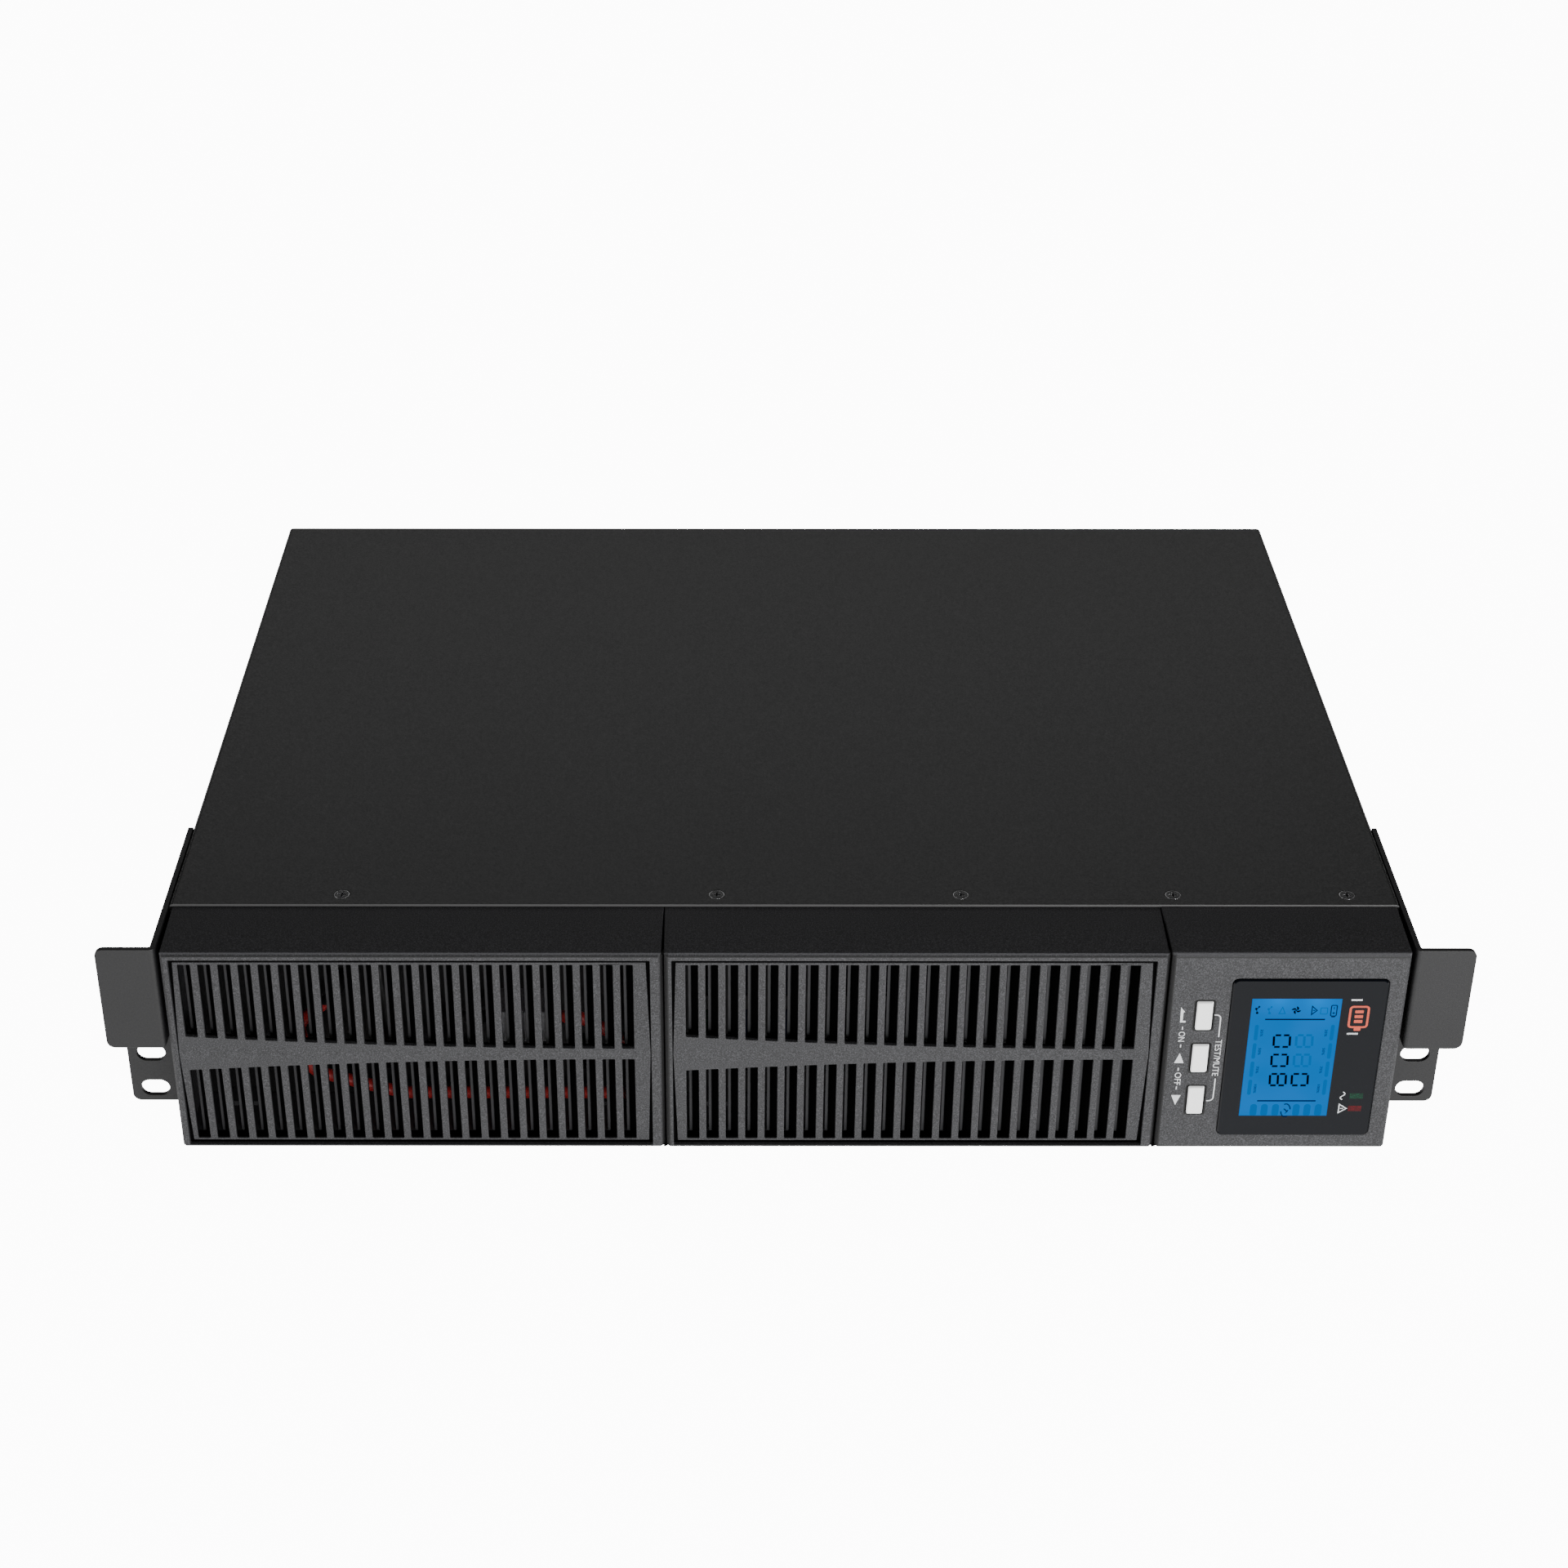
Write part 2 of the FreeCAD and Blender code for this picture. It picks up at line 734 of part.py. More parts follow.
def seam_rib(body, end):
    """A low rib up the right side, just behind the face, that closes the view through the seam."""
    sketch = new_sketch(body, "XY_Plane", "bezel_floor")
    back = f"{FRONT} + rib_front + rib_thick"
    rectangle(sketch, f"{end} - rib_reach", f"{FRONT} + rib_front", f"{end} + rib_reach", back)
    pad(body, sketch, "bezel_top - bezel_edge - bezel_floor")


def grille(label, slots_start):
    """A bezel whose face is a row of louvred slots on each side of a tapering band, inside a raised rim."""
    start, end = BEZELS[label]
    body = bezel_blank(label)
    face = new_sketch(body, "XZ_Plane", f"-{FRONT}")
    slots_end = f"({slots_start} + slot_pitch * (slot_count - 1) + slot_width)"
    rectangle(face, slots_start, "slot_floor", f"{slots_start} + slot_width", "slot_top")
    slot = pocket(body, face, "bezel_face + 1")
    repeat_along_x(body, slot, "slot_pitch", "slot_count")
    centre_band(body, f"({slots_start} - 1)", f"({slots_end} + 1)")
    roof_face(body, f"({start} + rim_left)", f"({end} - rim_right)")
    rim_groove(body, f"({start} + rim_left)", f"({end} - rim_right)")
    louvre_fins(body, f"({slots_start} + slot_width)")
    seam_rib(body, end)


def centre_band(body, left, right):
    """A band across the slots. Its edges are arcs that run level at the right end."""
    sketch = new_sketch(body, "XZ_Plane", f"-({FRONT} + bezel_face)")
    rise = "(band_start - band_end)"
    radius = f"((({right}) - ({left}))^2 + {rise}^2) / (2 * {rise})"
    big, middle = number(radius), number("grille_mid")
    sweep = math.asin((number(right) - number(left)) / big)
    # The upper arc starts at the left, and the lower arc ends there.
    for side, level, first, last in ((1, 270, -sweep, 0), (-1, 90, 0, sweep)):
        centre = Vector(number(right), middle + side * (number("band_end") + big), 0)
        base = math.radians(level)
        circle = Part.Circle(centre, Vector(0, 0, 1), big)
        sketch.addGeometry(Part.ArcOfCircle(circle, base + first, base + last))
    upper, lower = sketch.Geometry
    sketch.addGeometry(Part.LineSegment(upper.StartPoint, lower.EndPoint))
    sketch.addGeometry(Part.LineSegment(upper.EndPoint, lower.StartPoint))
    for line, end, arc, arc_end in ((2, 1, 0, 1), (2, 2, 1, 2), (3, 1, 0, 2), (3, 2, 1, 1)):
        sketch.addConstraint(Sketcher.Constraint("Coincident", line, end, arc, arc_end))
    for arc, left_end, right_end, sign in ((0, 1, 2, "+"), (1, 2, 1, "-")):
        pin_point(sketch, arc, left_end, left, f"grille_mid {sign} band_start")
        pin_point(sketch, arc, right_end, right, f"grille_mid {sign} band_end")
        bind(sketch, "DistanceX", -1, 1, arc, 3, value=right)
    pad(body, sketch, "bezel_face")


def roof_face(body, left, right):
    """Lets the face fall back from mid height towards the top and bottom of the rim."""
    sketch = new_sketch(body, "YZ_Plane", right)
    for edge in ("rim_top", "rim_floor"):
        outline(sketch, [(f"{FRONT} - 1", "grille_mid"), (FRONT, "grille_mid"),
                         (f"{FRONT} + roof_drop", edge), (f"{FRONT} - 1", edge)])
    pocket(body, sketch, f"{right} - {left}")


def rim_groove(body, left, right):
    """A groove inside the rim, of even width above and below, that fades out half way up the sides."""
    sketch = new_sketch(body, "XZ_Plane", f"-{FRONT}")
    rectangle(sketch, left, "rim_floor", right, "rim_top")
    pinch = "0.2"
    outline(
        sketch,
        [
            (f"{left} + {pinch}", "grille_mid"),
            (f"{left} + groove", "rim_floor + groove"),
            (f"{right} - groove", "rim_floor + groove"),
            (f"{right} - {pinch}", "grille_mid"),
            (f"{right} - groove", "rim_top - groove"),
            (f"{left} + groove", "rim_top - groove"),
        ],
    )
    pocket(body, sketch, "groove_depth")


def louvre_fins(body, slat):
    """A slanted fin with a flat foot behind every slat, which hides half of what lies behind the slots."""
    sketch = new_sketch(body, "XY_Plane", "slot_floor - 1")
    root = f"({FRONT} + bezel_face - 0.3)"
    tip = f"({root} + fin_depth)"
    foot = f"({tip} - fin_thick)"
    side = f"({slat} - fin_lean)"
    outline(sketch, [(slat, root), (f"{slat} + fin_thick", root), (f"{side} + fin_thick", tip),
                     (f"{side} - fin_foot", tip), (f"{side} - fin_foot", foot), (side, foot)])
    fin = pad(body, sketch, "slot_top - slot_floor + 2")
    repeat_along_x(body, fin, "slot_pitch", "slot_count")


# ---------------------------------------------------------------- display module

KEYS = {"key_enter": "key_level + key_pitch", "key_up": "key_level", "key_down": "key_level - key_pitch"}
LENS_BACK = f"({FRONT} + lens_sink)"
BOARD_FACE = f"({FRONT} + display_board_depth)"


def display_housing():
    """The bezel of the display module: a recess for the lens and openings for the display, lamps and keys."""
    body = bezel_blank("display_housing", top="display_top")
    recess = new_sketch(body, "XZ_Plane", f"-{FRONT}")
    rectangle(recess, "lens_left - lens_gap", "lens_floor - lens_gap",
              "lens_right + lens_gap", "lens_top + lens_gap")
    pocket(body, recess, "lens_sink")
    sides = ("lens_left - lens_gap", "lens_right + lens_gap")
    round_edges(body, "lens_corner", lambda b: b.XLength < 0.01 and b.ZLength < 0.01 and near(b.YMin, FRONT)
                and near(b.YMax, LENS_BACK) and any(near(b.XMin, s) for s in sides))
    openings = new_sketch(body, "XZ_Plane", f"-{LENS_BACK}")
    rectangle(openings, "lcd_left - lcd_border - 0.3", "lcd_floor - lcd_border - 0.3",
              "lcd_right + lcd_border + 0.3", "lcd_top + lcd_border + 0.3")
    for level in ("green_level", "red_level"):
        rectangle(openings, "lamp_mid - lamp_width / 2", f"{level} - lamp_height / 2",
                  "lamp_mid + lamp_width / 2", f"{level} + lamp_height / 2")
    pocket(body, openings, "bezel_face")
    key_holes = new_sketch(body, "XZ_Plane", f"-{FRONT}")
    for level in KEYS.values():
        rectangle(key_holes, "key_mid - key_width / 2 - key_clear", f"{level} - key_height / 2 - key_clear",
                  "key_mid + key_width / 2 + key_clear", f"{level} + key_height / 2 + key_clear")
    pocket(body, key_holes, "bezel_face + 1")
    reach = "(key_width / 2 + key_clear)"
    key_sides = (f"key_mid - {reach}", f"key_mid + {reach}")
    round_edges(body, "key_hole_corner", lambda b: b.XLength < 0.01 and b.ZLength < 0.01
                and near(b.YMin, FRONT) and any(near(b.XMin, s) for s in key_sides))


def display_lens():
    """Smoked window with round corners and a bevelled edge, a little proud of the housing."""
    body = new_body("display_lens")
    shape = new_sketch(body, "XZ_Plane", f"-{LENS_BACK}")
    rectangle(shape, "lens_left", "lens_floor", "lens_right", "lens_top")
    pad(body, shape, "lens_thick")
    round_edges(body, "lens_corner", lambda b: b.XLength < 0.01 and b.ZLength < 0.01)
    front = f"{LENS_BACK} - lens_thick"
    round_edges(body, "lens_bevel", lambda b: near(b.YMin, front) and near(b.YMax, front), kind="Chamfer")


def display_inside():
    """Liquid crystal glass, its backlight, the two lamps, the board and the key switches."""
    glass_back = f"({LENS_BACK} + lcd_glass)"
    left, right = "lcd_left - lcd_border", "lcd_right + lcd_border"
    low, high = "lcd_floor - lcd_border", "lcd_top + lcd_border"
    node(span((left, f"{LENS_BACK} + 0.05", low), (right, glass_back, high)), "lcd_glass")
    node(span((left, glass_back, low), (right, BOARD_FACE, high)), "backlight")
    half_width, half_height = "(lamp_width / 2 - 0.1)", "(lamp_height / 2 - 0.1)"
    for label, level in (("lamp_green", "green_level"), ("lamp_red", "red_level")):
        node(span((f"lamp_mid - {half_width}", f"{LENS_BACK} + 0.05", f"{level} - {half_height}"),
                  (f"lamp_mid + {half_width}", BOARD_FACE, f"{level} + {half_height}")), label)
    board_back = f"({BOARD_FACE} + board)"
    node(span(("display_start + 5", BOARD_FACE, "8"), ("display_end - 4", board_back, "78")), "display_board")
    switches = []
    half = "switch_wide / 2"
    for level in KEYS.values():
        case = span((f"key_mid - {half}", f"{BOARD_FACE} - switch_deep", f"{level} - {half}"),
                    (f"key_mid + {half}", BOARD_FACE, f"{level} + {half}"))
        plunger_front = f"{BOARD_FACE} - switch_deep - plunger_reach"
        plunger = rod("stem_radius", "plunger_reach", ("key_mid", plunger_front, level), along="y")
        switches.append(fuse(case, plunger))
    node(group(*switches), "key_switches")


def key(label, level):
    """A white key cap with a sloping right side, a lip that holds it behind the face, and a stem."""
    body = new_body(label)
    front = f"{FRONT} - key_proud"
    cap_back = f"({FRONT} + bezel_face + key_travel)"
    cap = new_sketch(body, "XZ_Plane", f"-{cap_back}")
    left, right = "key_mid - key_width / 2", "key_mid + key_width / 2"
    low, high = f"{level} - key_height / 2", f"{level} + key_height / 2"
    rectangle(cap, left, low, right, high)
    pad(body, cap, f"{cap_back} - ({front})")
    slope = new_sketch(body, "XY_Plane", high)
    outline(slope, [(f"{right} - key_slope", f"{front} - 0.1"), (f"{right} + 0.1", f"{front} - 0.1"),
                    (f"{right} + 0.1", f"{front} + key_proud"), (f"{right} - key_slope", front)])
    pocket(body, slope, "key_height")
    round_edges(body, "key_edge", lambda b: near(b.YMin, front) and b.XMax < number(right) - 0.1)
    lip = new_sketch(body, "XZ_Plane", f"-({cap_back} + key_lip)")
    reach = "(key_clear + key_lip)"
    rectangle(lip, f"{left} - {reach}", f"{low} - {reach}", f"{right} + {reach}", f"{high} + {reach}")
    pad(body, lip, "key_lip")
    stem_end = f"({BOARD_FACE} - switch_deep - plunger_reach - key_travel - 0.3)"
    stem = new_sketch(body, "XZ_Plane", f"-{stem_end}")
    disc(stem, "key_mid", level, "stem_radius")
    pad(body, stem, f"{stem_end} - ({cap_back} + key_lip) + 0.2")


# ---------------------------------------------------------------- ears


def ears():
    """Rack brackets: a side plate, a blank handle plate in front and a slotted flange below and behind it."""
    body = new_body("right_ear")
    handle_y, flange_y = f"({FRONT} + handle_depth)", f"({FRONT} + flange_depth)"
    end_y, outer = f"({FRONT} + ear_end)", "(ear_span / 2)"
    side = new_sketch(body, "YZ_Plane", HALF)
    outline(
        side,
        [
            (flange_y, "flange_floor"),
            (end_y, "flange_floor"),
            (end_y, "ear_top"),
            (handle_y, "ear_top"),
            (handle_y, "handle_floor"),
            (flange_y, "handle_floor"),
        ],
    )
    pad(body, side, "ear_sheet")
    for face, low, high in ((handle_y, "handle_floor", "ear_top"), (flange_y, "flange_floor", "flange_top")):
        sketch = new_sketch(body, "XZ_Plane", f"-({face} + ear_sheet)")
        rectangle(sketch, f"{HALF} + ear_sheet / 2", low, outer, high)
        pad(body, sketch, "ear_sheet")
    slots = new_sketch(body, "XZ_Plane", f"-{flange_y}")
    for level in ("rack_slot_z", "rack_slot_z + rack_slot_pitch"):
        level_slot(slots, "rack_slot_x", level, "rack_slot_length", "rack_slot_width")
    pocket(body, slots, "ear_sheet + 1")
    round_edges(body, "ear_corner", lambda b: near(b.XMin, outer) and b.ZLength < 0.01 and b.XLength < 0.01)
    round_edges(body, "ear_corner", lambda b: b.XLength > 1 and b.YLength < 0.01 and b.ZLength < 0.01
                and near(b.YMin, flange_y) and near(b.ZMin, "handle_floor"))
    round_edges(body, "ear_bend", lambda b: near(b.XMin, HALF) and near(b.XMax, HALF) and b.ZLength > 10
                and (near(b.YMin, handle_y) or near(b.YMin, flange_y)) and b.YLength < 0.01)
    holes = new_sketch(body, "YZ_Plane", f"{HALF} + ear_sheet")
    for y, z in EAR_SCREWS:
        disc(holes, y, z, "large_hole")
    countersunk(body, holes, LARGE_SCREW)
    mirrored = DOC.addObject("Part::Mirroring", "Mirrored")
    mirrored.Source = body
    mirrored.Normal = Vector(1, 0, 0)
    node(mirrored, "left_ear")


# ---------------------------------------------------------------- batteries and leads

BATTERY_RIGHT = "(battery_left + battery_long)"
BATTERY_BACK = "(battery_front + battery_deep)"
BATTERY_LOW = "(tray_level + sheet)"
TERMINALS = ("(battery_left + terminal_inset)", f"({BATTERY_RIGHT} - terminal_inset)")


def battery_tray():
    """Open sheet tray that carries both batteries and slides out to the front."""
    left, right = "(battery_left - tray_room - sheet)", f"({BATTERY_RIGHT} + tray_room + sheet)"
    front, back = "(battery_front - tray_lip)", f"({BATTERY_BACK} + battery_space + tray_room + sheet)"
    rim = "(tray_level + tray_wall)"
    outer = span((left, front, "tray_level"), (right, back, rim))
    inner = span((f"{left} + sheet", f"{front} - 1", BATTERY_LOW),
                 (f"{right} - sheet", f"{back} - sheet", f"{rim} + 1"))
    slots = []
    for row in range(3):
        slot_front = f"({front} + tray_slot_start + tray_slot_pitch * {row})"
        slots.append(span((f"{left} + tray_slot_start", slot_front, "tray_level - 1"),
                          (f"{right} - tray_slot_start", f"{slot_front} + tray_slot", f"{BATTERY_LOW} + 1")))
    node(cut(outer, inner, *slots), "battery_tray")


def battery(label, front):
    """A sealed lead-acid block lying on its side, its lid and two terminal pits towards the front."""
    body = new_body(label)
    shape = new_sketch(body, "XZ_Plane", f"-({front} + battery_deep)")
    top = f"({BATTERY_LOW} + battery_high)"
    rectangle(shape, "battery_left", BATTERY_LOW, BATTERY_RIGHT, top)
    pad(body, shape, "battery_deep")
    depth = number("battery_deep")
    round_edges(body, "battery_corner", lambda b: b.YLength > depth / 2)
    seam = new_sketch(body, "YZ_Plane", BATTERY_RIGHT)
    low_edge = (f"{BATTERY_LOW} - 1", f"{BATTERY_LOW} + lid_seam")
    for low, high in (low_edge, (f"{top} - lid_seam", f"{top} + 1")):
        rectangle(seam, f"{front} + lid_deep", low, f"{front} + lid_deep + 1", high)
    pocket(body, seam, "battery_long")
    pits = new_sketch(body, "XZ_Plane", f"-({front})")
    for x in TERMINALS:
        rectangle(pits, f"{x} - pit_half", "terminal_level - pit_half",
                  f"{x} + pit_half", "terminal_level + pit_half")
    pocket(body, pits, "pit_deep")


def battery_terminals():
    """Blade terminals, two on each battery, standing out of their pits."""
    low, high = "terminal_level - terminal_long / 2", "terminal_level + terminal_long / 2"
    tabs = []
    for front in BATTERY_FRONTS:
        for x in TERMINALS:
            tabs.append(span((f"{x} - terminal_thick / 2", f"{front} - terminal_reach", low),
                             (f"{x} + terminal_thick / 2", f"{front} + pit_deep", high)))
    node(group(*tabs), "battery_terminals")


def lead(points, label):
    """A round cable along straight runs joined by tangent arcs."""
    corners = [Vector(*(number(c) for c in point)) for point in points]
    radius = number("lead_bend")
    edges = []
    start = corners[0]
    for before, corner, after in zip(corners, corners[1:], corners[2:]):
        back = (before - corner).normalize()
        onward = (after - corner).normalize()
        half = back.getAngle(onward) / 2
        reach = radius / math.tan(half)
        centre = corner + (back + onward).normalize() * (radius / math.sin(half))
        middle = centre + (corner - centre).normalize() * radius
        edges.append(Part.LineSegment(start, corner + back * reach).toShape())
        edges.append(Part.Arc(corner + back * reach, middle, corner + onward * reach).toShape())
        start = corner + onward * reach
    edges.append(Part.LineSegment(start, corners[-1]).toShape())
    path = Part.Wire(edges)
    section = Part.Wire(Part.Circle(corners[0], corners[1] - corners[0], number("lead_radius")).toShape())
    tube = path.makePipeShell([section], True, True)
    expected = path.Length * math.pi * number("lead_radius") ** 2
    if abs(tube.Volume - expected) > 0.02 * expected:
        raise RuntimeError(f"{label}: the volume is not the section times the length")
    part = DOC.addObject("Part::Feature", "Lead")
    part.Shape = tube
    node(part, label)


def battery_leads():
    """Red and black leads in front of the door, their connector, and the link between the batteries."""
    inside = "battery_front - terminal_reach - 1"
    lead([
        ("red_hole_x", inside, "red_hole_z"),
        ("red_hole_x", "lead_y", "red_hole_z"),
        ("red_hole_x - 16", "lead_y", "red_hole_z - 14"),
        ("red_hole_x - 13", "lead_y", "lead_low + 10"),
        ("red_hole_x + 20", "lead_y", "lead_low"),
        ("lead_right", "lead_y", "lead_low"),
        ("lead_right", "lead_y", "plug_level - 15"),
        ("plug_right + 8", "lead_y", "plug_level"),
        ("plug_right", "lead_y", "plug_level"),
    ], "battery_lead_red")
    lead([
        ("black_hole_x", inside, "black_hole_z"),
        ("black_hole_x", "lead_y", "black_hole_z"),
        ("black_hole_x + 4", "lead_y", "plug_level - 15"),
        ("plug_left - 15", "lead_y", "plug_level - 17"),
        ("plug_left - 16", "lead_y", "plug_level"),
        ("plug_left", "lead_y", "plug_level"),
    ], "battery_lead_black")
    right = f"({BATTERY_RIGHT} - terminal_inset)"
    rear_tab = f"({BATTERY_BACK} + (battery_space - battery_deep - terminal_reach) / 2)"
    front_tab = "battery_front - terminal_reach - 4"
    lead([
        (right, rear_tab, "terminal_level"),
        (right, rear_tab, "link_level"),
        (right, front_tab, "link_level"),
        (right, front_tab, "terminal_level"),
    ], "battery_link")


def battery_connector():
    """Two mated connector halves against the door, with the seam between them."""
    low, high = "plug_level - plug_half", "plug_level + plug_half"
    face = "lead_y - plug_half"
    middle = "(plug_left + plug_right) / 2"
    housing = span(("plug_left", face, low), ("plug_right", f"{PLATE_FRONT} - sheet", high))
    seam = span((f"{middle} - 0.4", f"{face} - 1", f"{low} - 1"),
                (f"{middle} + 0.4", f"{face} + 1", f"{high} + 1"))
    node(cut(housing, seam), "battery_connector")


def divider_wall():
    """Sheet wall between the battery bay and the electronics, with a foot on the base."""
    front = f"{PLATE_BACK} + 1"
    wall = span(("wall_x", front, "sheet"), ("wall_x + sheet", "wall_back", "wall_top"))
    foot = span(("wall_x", front, "sheet"), ("wall_x + wall_foot", "wall_back", "sheet * 2"))
    notch = span(("wall_x - 1", "wall_back - 50", "50"), ("wall_x + 2", "wall_back - 20", "wall_top + 8"))
    node(cut(fuse(wall, foot), notch), "divider_wall")


# ---------------------------------------------------------------- power electronics

DECK = "(board_level + board)"
HEATSINKS = {"inverter_heatsink": "60", "rectifier_heatsink": "150"}
INDUCTORS = {"rectifier_inductor": "-18", "inverter_inductor": "44"}
CAN_SPOTS = (("-8", "-104"), ("30", "-104"), ("-8", "-66"), ("30", "-66"))
RELAY_SPOTS = ("31", "61", "115", "145")
FILM_SPOTS = ("173", "195")
TRANSFORMER = ("120", "-31")


def standing(x, y, level, size):
    """A block centred on a point of the plan, standing on a level. Its size is width, depth and height."""
    wide, deep, tall = size
    return span((f"{x} - ({wide}) / 2", f"{y} - ({deep}) / 2", level),
                (f"{x} + ({wide}) / 2", f"{y} + ({deep}) / 2", f"{level} + {tall}"))


def main_board():
    """The power board on its brass stand-offs, each with the head of a screw above it."""
    board = span(("board_left", "board_front", "board_level"), ("board_right", "board_back", DECK))
    spots = [(x, y) for x in ("board_left + 6", "90", "board_right - 6")
             for y in ("board_front + 6", "board_back - 6")]
    holes = [rod("1.7", "6", (x, y, "board_level - 2")) for x, y in spots]
    node(cut(board, *holes), "main_board")
    posts = []
    for x, y in spots:
        post = rod("standoff_radius", "board_level - sheet", (x, y, "sheet"))
        neck = rod("1.5", "board + 1.2", (x, y, "board_level - 0.5"))
        head = rod("2.8", "1.6", (x, y, DECK))
        posts.append(fuse(post, neck, head))
    node(group(*posts), "board_standoffs")


def heatsink(label, x):
    """An extruded spine with cooling fins on its right side."""
    back = "sink_front + sink_long"
    spine = span((x, "sink_front", DECK), (f"{x} + sink_spine", back, f"{DECK} + sink_tall"))
    fins = []
    for row in range(7):
        level = f"{DECK} + 6 + 8 * {row}"
        fins.append(span((f"{x} + sink_spine - 1", "sink_front", level),
                         (f"{x} + sink_wide", back, f"{level} + 2")))
    node(fuse(spine, *fins), label)


def power_transistors():
    """Four packages clipped to the flat side of each heatsink, their legs on the board."""
    packages = []
    for x in HEATSINKS.values():
        for row in range(4):
            y = f"(sink_front + 8 + 36 * {row})"
            case = span((f"{x} - 5", y, f"{DECK} + 9"), (x, f"{y} + 16", f"{DECK} + 30"))
            legs = [standing(f"{x} - 2.7", f"{y} + {leg}", DECK, ("0.6", "1.2", "10"))
                    for leg in ("2.6", "8", "13.4")]
            packages.append(fuse(case, *legs))
    node(group(*packages), "power_transistors")


def board_components():
    """Capacitors, inductors, relays and the control board, all standing on the main board."""
    cans = []
    for x, y in CAN_SPOTS:
        can = rod("can_radius", "can_tall", (x, y, DECK))
        cans.append(fuse(can, rod("can_radius - 1.5", "1", (x, y, f"{DECK} + can_tall"))))
    node(group(*cans), "bus_capacitors")
    for label, y in INDUCTORS.items():
        node(ring("coil_radius", "coil_thick", ("-4", y, f"{DECK} + coil_thick")), label)
    node(group(*[standing(x, "98", DECK, ("22", "28", "17")) for x in RELAY_SPOTS]), "relays")
    node(group(*[standing(x, "98", DECK, ("14", "28", "24")) for x in FILM_SPOTS]), "filter_capacitors")
    card = span(("204", "-60", DECK), ("204 + board", "50", f"{DECK} + 52"))
    socket = span(("200", "-30", f"{DECK} + 34"), ("204", "20", f"{DECK} + 42"))
    node(fuse(card, socket), "control_board")


def transformer():
    """A ferrite frame with a middle leg, and the taped winding round that leg."""
    x, y = TRANSFORMER
    low = f"({DECK} + 4)"
    frame = cut(standing(x, y, low, ("40", "42", "36")), standing(x, y, f"{low} + 6", ("28", "44", "24")))
    leg_size = ("12", "42", "26")
    base = standing(x, y, DECK, ("38", "40", "4"))
    node(fuse(frame, standing(x, y, f"{low} + 5", leg_size), base), "transformer_core")
    winding = standing(x, y, f"{low} + 6.5", ("26", "52", "23"))
    node(cut(winding, standing(x, y, f"{low} + 5", leg_size)), "transformer_winding")


# ---------------------------------------------------------------- rear panel

PANEL_FACE = f"({BACK} - sheet)"
OUTLETS = [(x, z) for x in ("-136", "-92") for z in ("59", "27")]
INLET = ("-188", "57")
BREAKER = ("-188", "24")
SERIAL = ("-34", "66")
USB = ("-34", "46")
SURGE = ("-34", "24")
CARD_SLOT = ("32", "52")
CARD_SCREWS = ("3", "61")
PANEL_SCREWS = (("-212", "10"), ("-212", "76"), ("212", "10"), ("212", "76"), ("-66", "78"), ("70", "78"))
FANS = {"left": "fan_left_x", "right": "fan_right_x"}


def centred(x, z, size, back, front):
    """A block centred on a point of the panel, between two depths. Its size is width and height."""
    wide, tall = size
    return span((f"{x} - ({wide}) / 2", back, f"{z} - ({tall}) / 2"),
                (f"{x} + ({wide}) / 2", front, f"{z} + ({tall}) / 2"))


def panel_window(spot, size):
    """A tool that cuts a window through the rear panel, centred on a point."""
    return centred(*spot, size, f"{PANEL_FACE} - 1", f"{BACK} + 1")


def fan_corners(x):
    """The four screw holes of a fan."""
    half = "(fan_screw_pitch / 2)"
    return [(f"{x} {a} {half}", f"fan_level {b} {half}") for a in "+-" for b in "+-"]


def rear_panel():
    """Sheet across the back with a window for every socket and fan."""
    sheet = span((f"-{INNER_HALF}", PANEL_FACE, PLATE_LOW), (INNER_HALF, BACK, PLATE_HIGH))
    tools = [
        panel_window(INLET, ("27.4", "20.2")),
        panel_window(SERIAL, ("20", "10.6")),
        panel_window(USB, ("12.4", "11.4")),
        panel_window(SURGE, ("31.4", "13.4")),
        panel_window(CARD_SLOT, ("50", "30")),
    ]
    tools += [panel_window(spot, ("28.2", "20.2")) for spot in OUTLETS]
    screws = list(PANEL_SCREWS) + [(x, CARD_SLOT[1]) for x in CARD_SCREWS]
    screws += [spot for x in FANS.values() for spot in fan_corners(x)]
    bores = [("6.1", BREAKER)] + [("fan_bore", (x, "fan_level")) for x in FANS.values()]
    bores += [("rear_hole", spot) for spot in screws]
    tools += [rod(radius, "sheet + 2", (x, f"{PANEL_FACE} - 1", z), along="y") for radius, (x, z) in bores]
    node(cut(sheet, *tools), "rear_panel")


def mains_inlet():
    """Recessed inlet with three blades and a flange behind the panel edge."""
    x, z = INLET
    body = centred(x, z, ("27", "19.8"), f"{BACK} - 22", f"{BACK} + 0.5")
    flange = centred(x, z, ("31", "24"), BACK, f"{BACK} + 2")
    cavity = centred(x, z, ("24.4", "16.6"), f"{BACK} - 16", f"{BACK} + 3")
    pins = [centred(f"{x} + {dx}", f"{z} + {dz}", ("2", "4"), f"{BACK} - 17", f"{BACK} - 1")
            for dx, dz in (("-7", "-2"), ("0", "2"), ("7", "-2"))]
    tabs = [centred(f"{x} + {dx}", z, ("0.8", "6.3"), f"{BACK} - 30", f"{BACK} - 21")
            for dx in ("-7", "0", "7")]
    node(fuse(cut(fuse(body, flange), cavity), *pins, *tabs), "mains_inlet")


